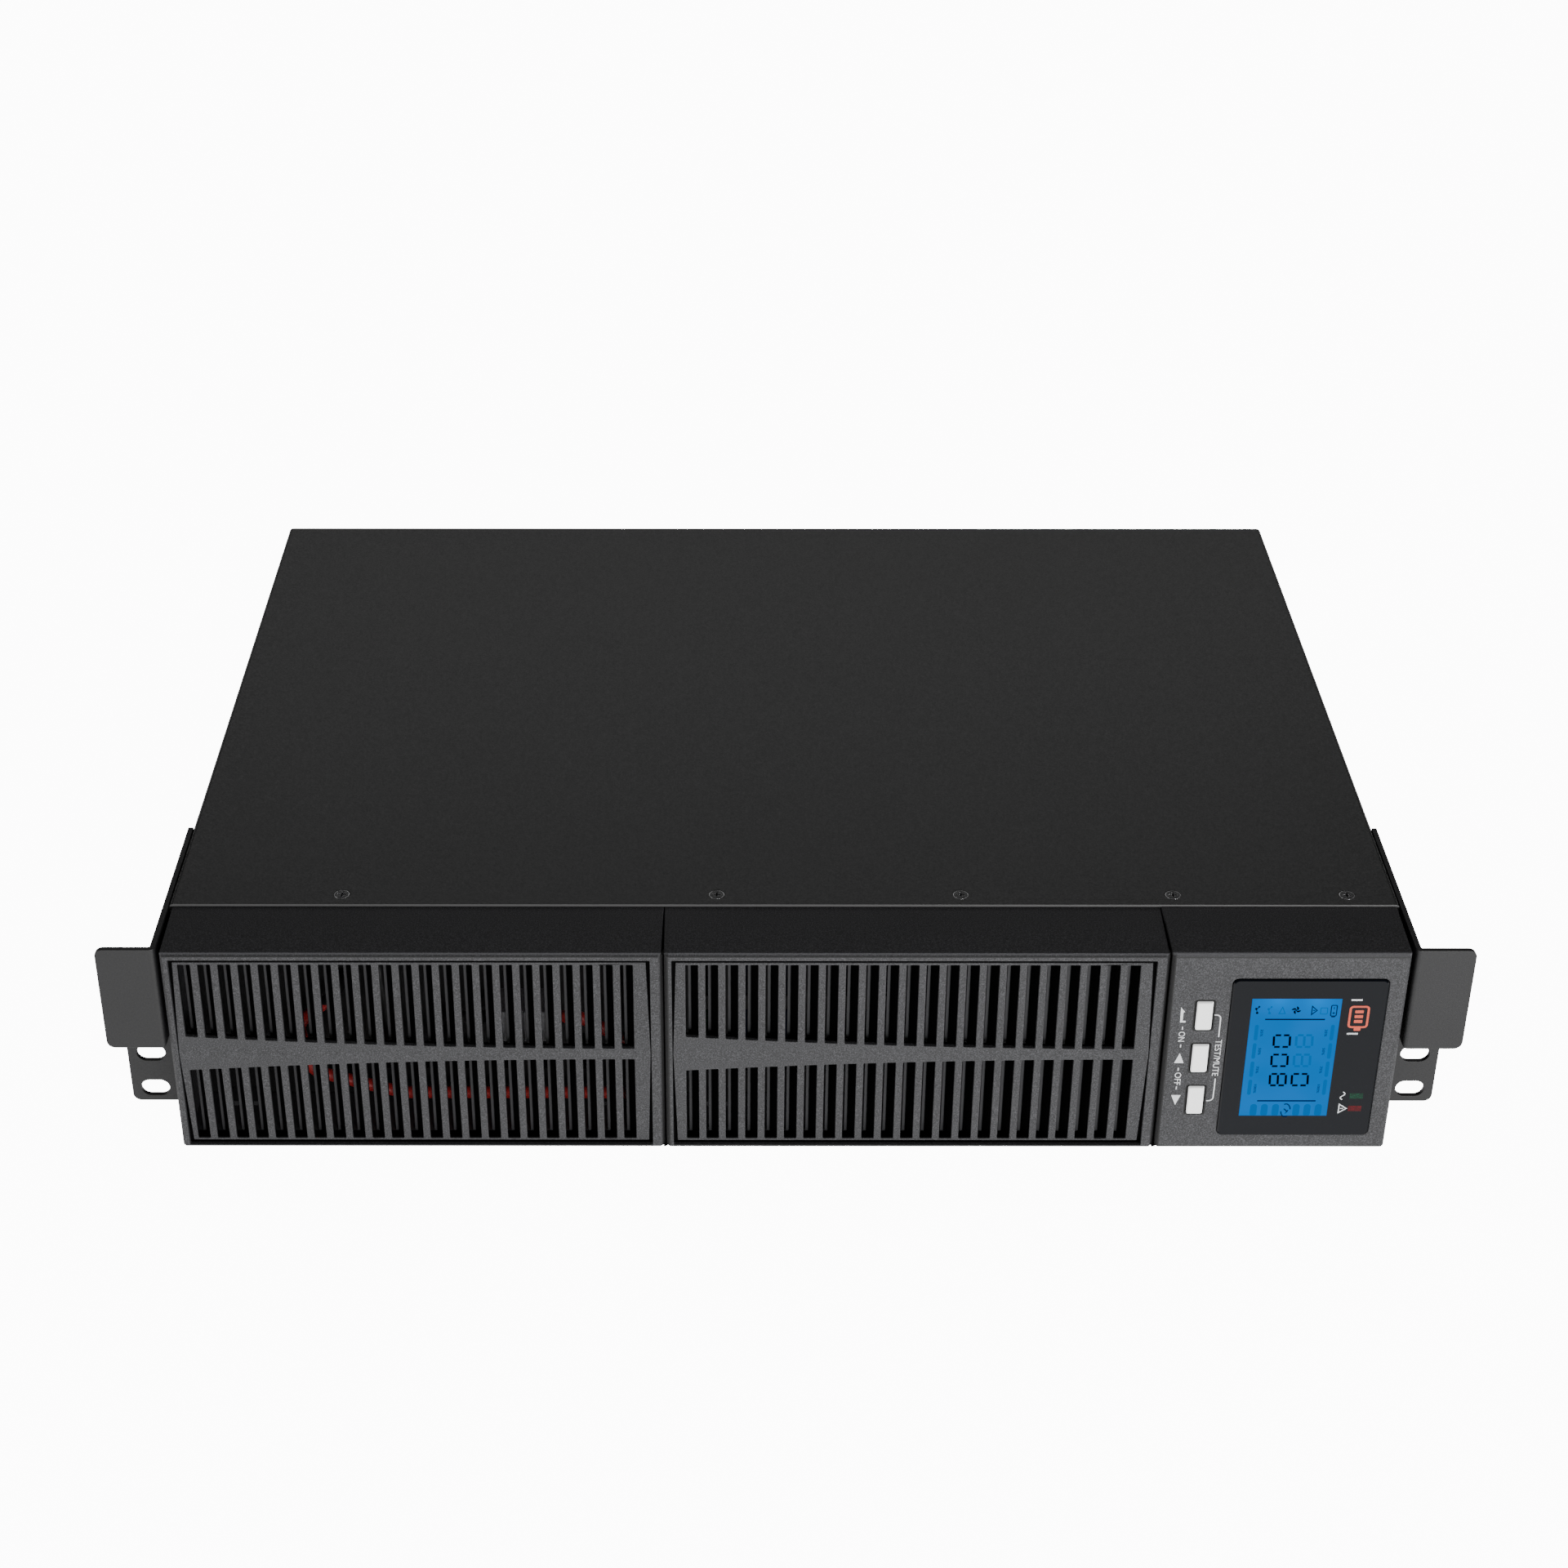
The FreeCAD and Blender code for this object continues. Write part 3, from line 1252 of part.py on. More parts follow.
def outlet_sockets():
    """Output sockets: a raised island with three slots inside a moat, one flange each."""
    sockets = []
    for x, z in OUTLETS:
        body = centred(x, z, ("28", "20"), f"{BACK} - 24", f"{BACK} + 0.5")
        flange = centred(x, z, ("32", "25"), BACK, f"{BACK} + 2")
        moat = cut(centred(x, z, ("25", "17"), f"{BACK} - 14", f"{BACK} + 3"),
                   centred(x, z, ("21", "13"), f"{BACK} - 15", f"{BACK} + 1"))
        slots = [centred(f"{x} + {dx}", f"{z} + {dz}", ("2.4", "4.6"), f"{BACK} - 14", f"{BACK} + 3")
                 for dx, dz in (("-7", "-1.6"), ("0", "2"), ("7", "-1.6"))]
        sockets.append(cut(fuse(body, flange), moat, *slots))
    node(group(*sockets), "outlet_sockets")


def input_breaker():
    """Thermal breaker: a body behind the panel, a neck with its nut, and the button that resets it."""
    x, z = BREAKER
    body = centred(x, z, ("14", "26"), f"{PANEL_FACE} - 30", PANEL_FACE)
    neck = rod("6", "sheet + 3.2", (x, PANEL_FACE, z), along="y")
    nut = rod("7.6", "2", (x, BACK, z), along="y")
    bore = rod("4.2", "14", (x, f"{BACK} - 9", z), along="y")
    node(cut(fuse(body, neck, nut), bore), "input_breaker")
    node(rod("3.9", "button_reach", (x, f"{BACK} + 6 - button_reach", z), along="y"), "breaker_button")


def serial_port():
    """Nine-pin port: a plate with a hollow shell, two rows of pins and two jack nuts."""
    x, z = SERIAL
    inner = ("16.6", "7.2")
    shell = cut(centred(x, z, ("18", "8.6"), f"{BACK} - 8", f"{BACK} + 5"),
                centred(x, z, inner, f"{BACK} - 1", f"{BACK} + 6"))
    plate = cut(centred(x, z, ("31", "12.5"), BACK, f"{BACK} + 0.8"),
                centred(x, z, inner, f"{BACK} - 1", f"{BACK} + 6"))
    pins = []
    for count, rise in ((5, "1.4"), (4, "-1.4")):
        for i in range(count):
            across = f"pin_pitch * ({i} - ({count} - 1) / 2)"
            pins.append(rod("0.5", "5", (f"{x} + {across}", f"{BACK} - 1.5", f"{z} + {rise}"), along="y"))
    jacks = [rod("2.4", "5", (f"{x} {sign} 12.5", BACK, z), along="y") for sign in "+-"]
    node(fuse(plate, shell, *jacks, *pins), "serial_port")


def usb_port():
    """Square data port with a tongue inside."""
    x, z = USB
    case = cut(centred(x, z, ("12", "11"), f"{BACK} - 15", f"{BACK} + 0.8"),
               centred(x, z, ("8.6", "7.9"), f"{BACK} - 10", f"{BACK} + 2"))
    tongue = centred(x, z, ("5.6", "3.2"), f"{BACK} - 11", f"{BACK} - 0.5")
    node(fuse(case, tongue), "usb_port")


def surge_sockets():
    """The pair of surge protected telephone sockets, each with a notch for the plug's latch."""
    x, z = SURGE
    tools = []
    for sign in "+-":
        middle = f"{x} {sign} 7.4"
        tools.append(centred(middle, z, ("11.8", "8"), f"{BACK} - 12", f"{BACK} + 2"))
        tools.append(centred(middle, f"{z} - 4.6", ("5", "3"), f"{BACK} - 12", f"{BACK} + 2"))
    node(cut(centred(x, z, ("31", "13"), f"{BACK} - 17", f"{BACK} + 1"), *tools), "surge_sockets")


def card_slot_cover():
    """Blank plate over the slot for a communication card."""
    x, z = CARD_SLOT
    plate = centred(x, z, ("66", "36"), BACK, f"{BACK} + sheet")
    holes = [rod("rear_hole", "6", (screw_x, f"{BACK} - 2", z), along="y") for screw_x in CARD_SCREWS]
    node(cut(plate, *holes), "card_slot_cover")


def rear_screws():
    """Panel, card slot and fan screws."""
    screws = [pan_head((x, BACK, z), "y", 1) for x, z in PANEL_SCREWS]
    screws += [pan_head((x, f"{BACK} + sheet", CARD_SLOT[1]), "y", 1) for x in CARD_SCREWS]
    screws += [pan_head((x, f"{BACK} + arm_thick", z), "y", 1, length=5)
               for fan_x in FANS.values() for x, z in fan_corners(fan_x)]
    node(group(*screws), "rear_screws")


# ---------------------------------------------------------------- fans

BLADES = 7
BLADE_PITCH = 38
BLADE_CHORD = 20
GUARD_RADII = ("9", "16", "23")


def fan_frame(label, x):
    """Square frame with a round duct, a waist between its flanges, two struts and a bearing tube."""
    back = f"({PANEL_FACE} - fan_depth)"
    frame = centred(x, "fan_level", ("fan_size", "fan_size"), back, PANEL_FACE)
    duct = rod("fan_bore", "fan_depth + 2", (x, f"{back} - 1", "fan_level"), along="y")
    holes = [rod("1.3", "fan_depth + 2", (cx, f"{back} - 1", cz), along="y") for cx, cz in fan_corners(x)]
    outside = ("fan_size + 2", "fan_size + 2")
    waist = cut(
        centred(x, "fan_level", outside, f"{back} + fan_flange", f"{PANEL_FACE} - fan_flange"),
        rod("fan_bore + 2.2", "fan_depth", (x, back, "fan_level"), along="y"),
        *[rod("4.6", "fan_depth", (cx, back, cz), along="y") for cx, cz in fan_corners(x)],
    )
    seat_front = f"{PANEL_FACE} - 2"
    seat = rod("fan_hub", "2", (x, seat_front, "fan_level"), along="y")
    struts = [span((f"{x} - fan_bore - 1", seat_front, f"fan_level + {z}"),
                   (f"{x} + fan_bore + 1", PANEL_FACE, f"fan_level + {z} + 3")) for z in ("-9", "6")]
    tube = rod("3.4", "16", (x, f"{PANEL_FACE} - 17", "fan_level"), along="y")
    bore = rod("fan_shaft + fan_fit", "20", (x, f"{PANEL_FACE} - 18", "fan_level"), along="y")
    node(cut(fuse(cut(frame, duct, waist, *holes), seat, *struts, tube), bore), label)


def fan_blade(x, back, turn_angle):
    """A flat pitched blade that stands on the hub, turned about the fan's axis."""
    thick = 1.2
    root = number("fan_hub - 1")
    turn = Rotation(Vector(0, 1, 0), turn_angle) * Rotation(Vector(0, 0, 1), BLADE_PITCH)
    corner = turn.multVec(Vector(-BLADE_CHORD / 2, -thick / 2, root))
    blade = DOC.addObject("Part::Box", "Blade")
    blade.setExpression("Height", ex("fan_tip + 1 - (fan_hub - 1)"))
    blade.Length = BLADE_CHORD
    blade.Width = thick
    blade.Placement.Rotation = turn
    place(blade, (f"{x} + {corner.x}", f"{back} + 9.5 + {corner.y}", f"fan_level + {corner.z}"))
    return blade


def fan_rotor(label, x):
    """Hub cup with pitched blades and the shaft that runs in the frame's bearing tube."""
    back = f"({PANEL_FACE} - fan_depth + 1)"
    cup = cut(rod("fan_hub", "19", (x, back, "fan_level"), along="y"),
              rod("fan_hub - 1.6", "18", (x, f"{back} + 1.8", "fan_level"), along="y"))
    shaft = rod("fan_shaft", "21", (x, f"{back} + 1", "fan_level"), along="y")
    blades = [fan_blade(x, back, 360 * i / BLADES) for i in range(BLADES)]
    sweep = cut(rod("fan_tip", "17.5", (x, f"{back} + 0.5", "fan_level"), along="y"),
                rod("fan_hub - 0.6", "19", (x, f"{back} - 0.5", "fan_level"), along="y"))
    node(fuse(cup, shaft, common(fuse(*blades), sweep)), label)


def slanted_arm(x, angle):
    """A flat bar across the fan's centre, turned about the fan's axis, from screw to screw."""
    length = number("fan_screw_pitch") * math.sqrt(2)
    turn = Rotation(Vector(0, 1, 0), angle)
    corner = turn.multVec(Vector(-number("arm_wide") / 2, 0, -length / 2))
    arm = DOC.addObject("Part::Box", "Arm")
    arm.setExpression("Length", ex("arm_wide"))
    arm.setExpression("Width", ex("arm_thick"))
    arm.Height = length
    arm.Placement.Rotation = turn
    place(arm, (f"{x} + {corner.x}", BACK, f"fan_level + {corner.z}"))
    return arm


def fan_guards():
    """Guards over the fan outlets: wire rings on two crossed flat arms that end in screw eyes."""
    guards = []
    for x in FANS.values():
        centre = (x, f"{BACK} + arm_thick", "fan_level")
        wires = [ring(radius, "wire", centre, along="y") for radius in GUARD_RADII]
        eyes = [rod("arm_wide", "arm_thick", (cx, BACK, cz), along="y") for cx, cz in fan_corners(x)]
        arms = [slanted_arm(x, angle) for angle in (45, 135)]
        holes = [rod("1.6", "arm_thick + 2", (cx, f"{BACK} - 1", cz), along="y") for cx, cz in fan_corners(x)]
        guards.append(cut(fuse(*wires, *eyes, *arms), *holes))
    node(group(*guards), "fan_guards")


def main():
    base_pan()
    front_plate()
    battery_door()
    top_cover()
    sheet_screws()
    grille("left_grille", "left_slots")
    grille("middle_grille", "middle_slots")
    display_housing()
    display_lens()
    display_inside()
    for label, level in KEYS.items():
        key(label, level)
    ears()
    battery_tray()
    for label, front in zip(("front_battery", "rear_battery"), BATTERY_FRONTS):
        battery(label, front)
    battery_terminals()
    battery_leads()
    battery_connector()
    divider_wall()
    main_board()
    for label, x in HEATSINKS.items():
        heatsink(label, x)
    power_transistors()
    board_components()
    transformer()
    rear_panel()
    mains_inlet()
    outlet_sockets()
    input_breaker()
    serial_port()
    usb_port()
    surge_sockets()
    card_slot_cover()
    rear_screws()
    for side, x in FANS.items():
        fan_frame(f"{side}_fan_frame", x)
        fan_rotor(f"{side}_fan_rotor", x)
    fan_guards()
    export()


def export():
    """Checks every object and writes one file for each sub-part."""
    DOC.recompute()
    failed = [o.Name for o in DOC.Objects if "Invalid" in o.State or "Error" in o.State]
    if failed:
        raise RuntimeError(f"failed objects: {failed}")
    for label, part in NODES.items():
        if part.Shape.isNull() or not part.Shape.isValid():
            raise RuntimeError(f"{label} is not a valid shape")
    os.makedirs("parts", exist_ok=True)
    for label, part in NODES.items():
        part.Shape.exportStep(f"parts/{label}.step")
    box = Part.makeCompound([p.Shape for p in NODES.values()]).BoundBox
    print(f"{len(NODES)} sub-parts, {box}")


main()
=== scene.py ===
"""Looks of the rack-mount power supply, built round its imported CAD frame. Lengths are metres."""

import json
import math

import bmesh
import bpy
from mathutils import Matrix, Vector


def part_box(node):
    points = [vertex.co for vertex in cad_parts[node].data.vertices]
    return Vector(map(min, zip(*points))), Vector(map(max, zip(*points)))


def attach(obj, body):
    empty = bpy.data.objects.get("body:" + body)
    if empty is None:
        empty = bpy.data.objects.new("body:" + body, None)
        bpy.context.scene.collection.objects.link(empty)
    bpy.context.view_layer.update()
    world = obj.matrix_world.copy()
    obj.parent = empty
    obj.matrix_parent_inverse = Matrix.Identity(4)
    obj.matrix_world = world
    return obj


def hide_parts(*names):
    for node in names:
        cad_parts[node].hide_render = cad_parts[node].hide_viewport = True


MM = 0.001

# Depths along Y and thicknesses, in millimetres.
FACE = -171.5  # front of the mouldings
LENS_FACE = -172.1  # front of the lens over the display
DISPLAY_PRINT = LENS_FACE + 0.02  # where the marks of the display start
INK = 0.03  # how far print stands out
RIB_BACK = 5.6  # from the face to the back of a seam rib
RIB_THICK = 1.6
RIB_OVERLAP = 0.09  # how far a rib reaches behind its neighbour's
# Under each seam lies a thin sheet that closes the gap's bottom so it shows dark, a stand-in for shade.
SILL_BACK = 6.4
SILL_LONG = 6.3
SILL_THICK = 0.12
WINDOW = (164.2, 14.8, 195.8, 66.4)  # left, bottom, right and top of the lens's clear window

SEGMENTS = {"0": "abcdef", "8": "abcdefg"}  # the bars of each digit

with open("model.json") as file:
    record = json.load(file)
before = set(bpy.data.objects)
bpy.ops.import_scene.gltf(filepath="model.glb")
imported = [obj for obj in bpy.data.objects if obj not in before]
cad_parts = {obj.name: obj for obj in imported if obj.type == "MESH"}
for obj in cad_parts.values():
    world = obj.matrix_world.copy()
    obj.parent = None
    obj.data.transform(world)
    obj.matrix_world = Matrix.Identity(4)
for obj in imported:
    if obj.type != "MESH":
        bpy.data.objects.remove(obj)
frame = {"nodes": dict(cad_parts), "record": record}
NODES = frame["nodes"]
BODY_OF = {node: body for body, nodes in frame["record"]["behaviour"]["bodies"].items() for node in nodes}
SLOT_OF = {row["node"]: row["material_slot"] for row in frame["record"]["subparts"]}
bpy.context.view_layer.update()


# ---------------------------------------------------------------- camera, lights and floor


def add_camera():
    """The viewing angle: in front of the middle, looking down on the cover with a long lens."""
    data = bpy.data.cameras.new("camera")
    data.lens = 63.02
    data.shift_x = 0.0313
    data.clip_start = 0.05
    data.clip_end = 20
    camera = bpy.data.objects.new("camera", data)
    pitch, yaw = 31.01, 0.08
    camera.location = (-0.0165, -0.9597, 0.6277)
    camera.rotation_euler = (math.radians(90 - pitch), 0, math.radians(yaw))
    bpy.context.scene.collection.objects.link(camera)
    bpy.context.scene.camera = camera


def add_area_light(name, place, aim, size, power):
    data = bpy.data.lights.new(name, "AREA")
    data.shape = "RECTANGLE"
    data.size, data.size_y = size
    data.energy = power
    light = bpy.data.objects.new(name, data)
    light.location = place
    light.rotation_euler = (Vector(aim) - Vector(place)).to_track_quat("-Z", "Y").to_euler()
    bpy.context.scene.collection.objects.link(light)


def add_studio():
    """A light table under the object, a dim room, and soft boxes above, in front and behind."""
    world = bpy.data.worlds.new("room")
    world.use_nodes = True
    background = world.node_tree.nodes["Background"]
    background.inputs["Color"].default_value = (1, 1, 1, 1)
    background.inputs["Strength"].default_value = 0.06
    bpy.context.scene.world = world
    add_area_light("back_box", (0, 2.3, 1.45), (0, 0.05, 0.05), (2.4, 0.9), 5)
    add_area_light("front_box", (0.8, -1.7, 0.35), (0.05, -0.17, 0.04), (1.4, 0.6), 34)
    add_area_light("left_box", (-1.5, -0.4, 0.7), (0, 0, 0.05), (0.7, 1.2), 3)

    half = 12
    mesh = bpy.data.meshes.new("floor")
    corners = [(-half, -half, 0), (half, -half, 0), (half, half, 0), (-half, half, 0)]
    mesh.from_pydata([(x, y, -0.0002) for x, y, _ in corners], [], [(0, 1, 2, 3)])
    floor = bpy.data.objects.new("floor", mesh)
    bpy.context.scene.collection.objects.link(floor)
    mesh.materials.append(floor_material())


def floor_material():
    """White, and lit from inside as a light table is: brighter to the eye than to the object on it."""
    seen, cast = 12.0, 1.3
    material = bpy.data.materials.new("floor_white")
    material.use_nodes = True
    tree = material.node_tree
    tree.nodes.clear()
    output = tree.nodes.new("ShaderNodeOutputMaterial")
    diffuse = tree.nodes.new("ShaderNodeBsdfDiffuse")
    diffuse.inputs["Color"].default_value = (0.9, 0.9, 0.9, 1)
    glow = tree.nodes.new("ShaderNodeEmission")
    path = tree.nodes.new("ShaderNodeLightPath")
    strength = tree.nodes.new("ShaderNodeMapRange")
    strength.inputs["To Min"].default_value = cast
    strength.inputs["To Max"].default_value = seen
    both = tree.nodes.new("ShaderNodeAddShader")
    tree.links.new(path.outputs["Is Camera Ray"], strength.inputs["Value"])
    tree.links.new(strength.outputs["Result"], glow.inputs["Strength"])
    tree.links.new(diffuse.outputs["BSDF"], both.inputs[0])
    tree.links.new(glow.outputs["Emission"], both.inputs[1])
    tree.links.new(both.outputs["Shader"], output.inputs["Surface"])
    return material


# ---------------------------------------------------------------- materials


class Finish:
    """A principled material whose detail comes from procedural nodes laid out in metres on the object."""

    def __init__(self, name):
        self.material = bpy.data.materials.new(name)
        self.material.use_nodes = True
        self.tree = self.material.node_tree
        self.shader = self.tree.nodes["Principled BSDF"]
        self.place = self.tree.nodes.new("ShaderNodeTexCoord").outputs["Object"]

    def add(self, kind, links=None, values=None, **settings):
        node = self.tree.nodes.new(kind)
        for key, value in settings.items():
            setattr(node, key, value)
        for key, value in (values or {}).items():
            node.inputs[key].default_value = value
        for key, source in (links or {}).items():
            self.tree.links.new(source, node.inputs[key])
        return node

    def set(self, **values):
        """Constant sockets of the shader, by their names with spaces as underscores."""
        for key, value in values.items():
            self.shader.inputs[key.replace("_", " ")].default_value = value
        return self

    def stretched(self, scale):
        return self.add("ShaderNodeMapping", {"Vector": self.place}, {"Scale": scale}).outputs["Vector"]

    def noise(self, size, detail=3.0, rough=0.55, stretch=None):
        """Cloudy noise whose blobs are about size metres across."""
        source = self.stretched(stretch) if stretch else self.place
        node = self.add("ShaderNodeTexNoise", {"Vector": source},
                        {"Scale": 1 / size, "Detail": detail, "Roughness": rough})
        return node.outputs["Fac"]

    def cells(self, size):
        node = self.add("ShaderNodeTexVoronoi", {"Vector": self.place}, {"Scale": 1 / size})
        return node.outputs["Distance"]

    def remap(self, source, low, high, start=0.3, end=0.7):
        node = self.add("ShaderNodeMapRange", {"Value": source},
                        {"From Min": start, "From Max": end, "To Min": low, "To Max": high})
        return node.outputs["Result"]

    def blend(self, factor, first, second):
        """Colour that runs from first to second; either is a colour or a socket."""
        node = self.add("ShaderNodeMix", {"Factor": factor}, data_type="RGBA")
        for index, value in ((6, first), (7, second)):
            if isinstance(value, tuple):
                node.inputs[index].default_value = (*value, 1)
            else:
                self.tree.links.new(value, node.inputs[index])
        return node.outputs[2]

    def colour(self, source):
        if isinstance(source, tuple):
            self.shader.inputs["Base Color"].default_value = (*source, 1)
        else:
            self.tree.links.new(source, self.shader.inputs["Base Color"])
        return self

    def shader_value(self, socket, source):
        self.tree.links.new(source, self.shader.inputs[socket])
        return self

    def roughness(self, source):
        return self.shader_value("Roughness", source)

    def near(self, source, middle, reach):
        """One within reach of a value, zero elsewhere."""
        node = self.add("ShaderNodeMath", {0: source}, {1: middle, 2: reach}, operation="COMPARE")
        return node.outputs["Value"]

    def product(self, first, second):
        node = self.add("ShaderNodeMath", {0: first, 1: second}, operation="MULTIPLY")
        return node.outputs["Value"]

    def axes(self):
        """The position along X, Y and Z, by letter."""
        return self.add("ShaderNodeSeparateXYZ", {"Vector": self.place}).outputs

    def bump(self, height, depth, strength):
        node = self.add("ShaderNodeBump", {"Height": height}, {"Distance": depth, "Strength": strength})
        self.tree.links.new(node.outputs["Normal"], self.shader.inputs["Normal"])

    def edges(self, radius):
        """A mask that is one along sharp edges and corners, and zero on flats."""
        soft = self.add("ShaderNodeBevel", values={"Radius": radius}, samples=4).outputs["Normal"]
        true = self.add("ShaderNodeNewGeometry").outputs["Normal"]
        dot = self.add("ShaderNodeVectorMath", operation="DOT_PRODUCT")
        self.tree.links.new(soft, dot.inputs[0])
        self.tree.links.new(true, dot.inputs[1])
        return self.remap(dot.outputs["Value"], 1.0, 0.0, 0.72, 0.97)


def scaled(colour, factor):
    return tuple(c * factor for c in colour)


def powder_coat(name, colour, gloss, painted_edge_highlight=None):
    """Fine-grained powder coat over sheet steel; its sharp edges are paler, partly from wear and partly as a
    painted highlight. The optional (depth, lowest level) paints a highlight, in a nearly bare grey, on a band
    of the front face above that level.
    """
    f = Finish(name)
    grainy = f.noise(0.55 * MM, 2, 0.6)
    broad = f.noise(38 * MM, 3, 0.5)
    speck = f.noise(0.16 * MM, 1, 0.5)
    tone = f.blend(f.remap(broad, 0, 1), scaled(colour, 0.86), scaled(colour, 1.14))
    dusty = f.blend(f.remap(speck, 0, 0.5, 0.62, 0.75), tone, scaled(colour, 2.1))
    # Edge mask: paler edges, partly wear and partly a painted highlight.
    edge_wear_and_highlight = f.blend(f.remap(f.edges(0.5 * MM), 0, 0.45, 0, 1), dusty, scaled(colour, 2.6))
    # Painted highlight: a grey band on the front face above the given level, standing in for the light the
    # edge catches.
    if painted_edge_highlight:
        depth, level = painted_edge_highlight
        axes = f.axes()
        front = f.remap(axes["Y"], 1, 0, depth + 0.1 * MM, depth + 0.25 * MM)
        upper = f.remap(axes["Z"], 0, 1, level - 0.1 * MM, level)
        edge_wear_and_highlight = f.blend(f.product(front, upper), edge_wear_and_highlight, (0.1, 0.1, 0.1))
    f.colour(edge_wear_and_highlight)
    f.roughness(f.remap(grainy, gloss - 0.07, gloss + 0.09))
    f.bump(grainy, 0.05 * MM, 0.55)
    return f.set(Specular_IOR_Level=0.5).material


def spark_plastic(name, colour, gloss=0.5):
    """Moulded plastic with a spark-eroded texture: coarse matt grain with paler tips."""
    grain = 0.42 * MM
    f = Finish(name)
    coarse = f.noise(grain, 3, 0.65)
    fine = f.noise(grain * 0.35, 2, 0.5)
    broad = f.noise(30 * MM, 2, 0.5)
    tone = f.blend(f.remap(broad, 0, 1), scaled(colour, 0.92), scaled(colour, 1.08))
    tips = f.blend(f.remap(coarse, 0, 1, 0.5, 0.72), tone, scaled(colour, 1.75))
    pits = f.blend(f.remap(fine, 0, 0.6, 0.52, 0.34), tips, scaled(colour, 0.45))
    f.colour(pits)
    f.roughness(f.remap(fine, gloss - 0.06, gloss + 0.12))
    f.bump(coarse, 0.06 * MM, 0.7)
    return f.material


def bezel_moulding(name, colour, top, seams):
    """Coarse spark-eroded plastic. Painted shade darkens the louvre fins that slant away inside the slots,
    the line under the top edge and each seam's cleft; painted highlights brighten the edges, the top lip, the
    seam lines on top and what lies behind the fins.
    """
    f = Finish(name)
    coarse = f.noise(0.42 * MM, 1.5, 0.6)
    fine = f.noise(0.25 * MM, 2, 0.5)
    broad = f.noise(30 * MM, 2, 0.5)
    tone = f.blend(f.remap(broad, 0, 1), scaled(colour, 0.92), scaled(colour, 1.08))
    tips = f.blend(f.remap(coarse, 0, 1, 0.5, 0.7), tone, scaled(colour, 2.8))
    hollows = f.blend(f.remap(coarse, 0.85, 0, 0.3, 0.46), tips, scaled(colour, 0.25))
    # Paler edges: partly wear, partly a painted highlight.
    edge_wear_and_highlight = f.blend(f.remap(f.edges(0.5 * MM), 0, 0.4, 0, 1), hollows, scaled(colour, 3.0))
    axes = f.axes()
    # Painted highlight: a bright band along the top front edge.
    lip_front = f.remap(axes["Y"], 1, 0, FACE * MM, (FACE + 1.6) * MM)
    lip_highlight = f.product(f.near(axes["Z"], top - 0.3 * MM, 0.45 * MM), lip_front)
    lip_lit = f.blend(lip_highlight, edge_wear_and_highlight, scaled(colour, 3.4))
    # Painted shade: a dark line a little below the top front edge.
    crease_front = f.remap(axes["Y"], 1, 0, FACE * MM, (FACE + 1) * MM)
    crease_shade = f.product(f.near(axes["Z"], top - 1.35 * MM, 0.3 * MM), crease_front)
    edged = f.blend(crease_shade, lip_lit, scaled(colour, 0.3))
    for seam in seams:
        # Painted highlight: a bright line along each seam on the top face.
        above = f.remap(axes["Z"], 0, 1, top - 0.5 * MM, top - 0.4 * MM)
        line = f.product(f.near(axes["X"], seam, 0.3 * MM), above)
        edged = f.blend(line, edged, scaled(colour, 5.5))
        # Painted shade: darker in the cleft of each seam, below the top.
        below = f.remap(axes["Z"], 1, 0, top - 1 * MM, top)
        cleft_shade = f.product(f.near(axes["X"], seam + 0.5 * MM, 1.5 * MM), below)
        edged = f.blend(cleft_shade, edged, scaled(colour, 0.2))
    # Painted shade: the louvre fins, from 2 to 6.5 mm behind the face and below 82 mm, are darkened nearly to
    # black and lose most of their shine.
    begins = f.remap(axes["Y"], 0, 1, (FACE + 1.4) * MM, (FACE + 2.0) * MM)
    ends = f.remap(axes["Y"], 1, 0, (FACE + 6.5) * MM, (FACE + 6.65) * MM)
    under = f.remap(axes["Z"], 1, 0, 82 * MM, 82.5 * MM)
    fin_shade = f.product(f.product(begins, ends), under)
    # Painted light: what lies more than 6.65 mm behind the face, below 82 mm, is made paler, as if lit.
    lit_foot = f.product(f.remap(axes["Y"], 0, 1, (FACE + 6.6) * MM, (FACE + 6.65) * MM), under)
    with_lit_feet = f.blend(lit_foot, edged, scaled(colour, 1.7))
    f.colour(f.blend(fin_shade, with_lit_feet, scaled(colour, 0.06)))
    f.roughness(f.remap(fine, 0.56, 0.74))
    f.shader_value("Specular IOR Level", f.remap(fin_shade, 0.5, 0.05, 0, 1))
    f.bump(coarse, 0.12 * MM, 0.9)
    return f.material


def smooth_plastic(name, colour, gloss=0.35):
    """Plain moulded plastic: slight flow marks and a varying shine."""
    f = Finish(name)
    flow = f.noise(6 * MM, 4, 0.6)
    fine = f.noise(0.3 * MM, 2, 0.5)
    f.colour(f.blend(f.remap(flow, 0, 1), scaled(colour, 0.93), scaled(colour, 1.07)))
    f.roughness(f.remap(flow, gloss - 0.05, gloss + 0.05))
    f.bump(fine, 0.01 * MM, 0.35)
    return f.material


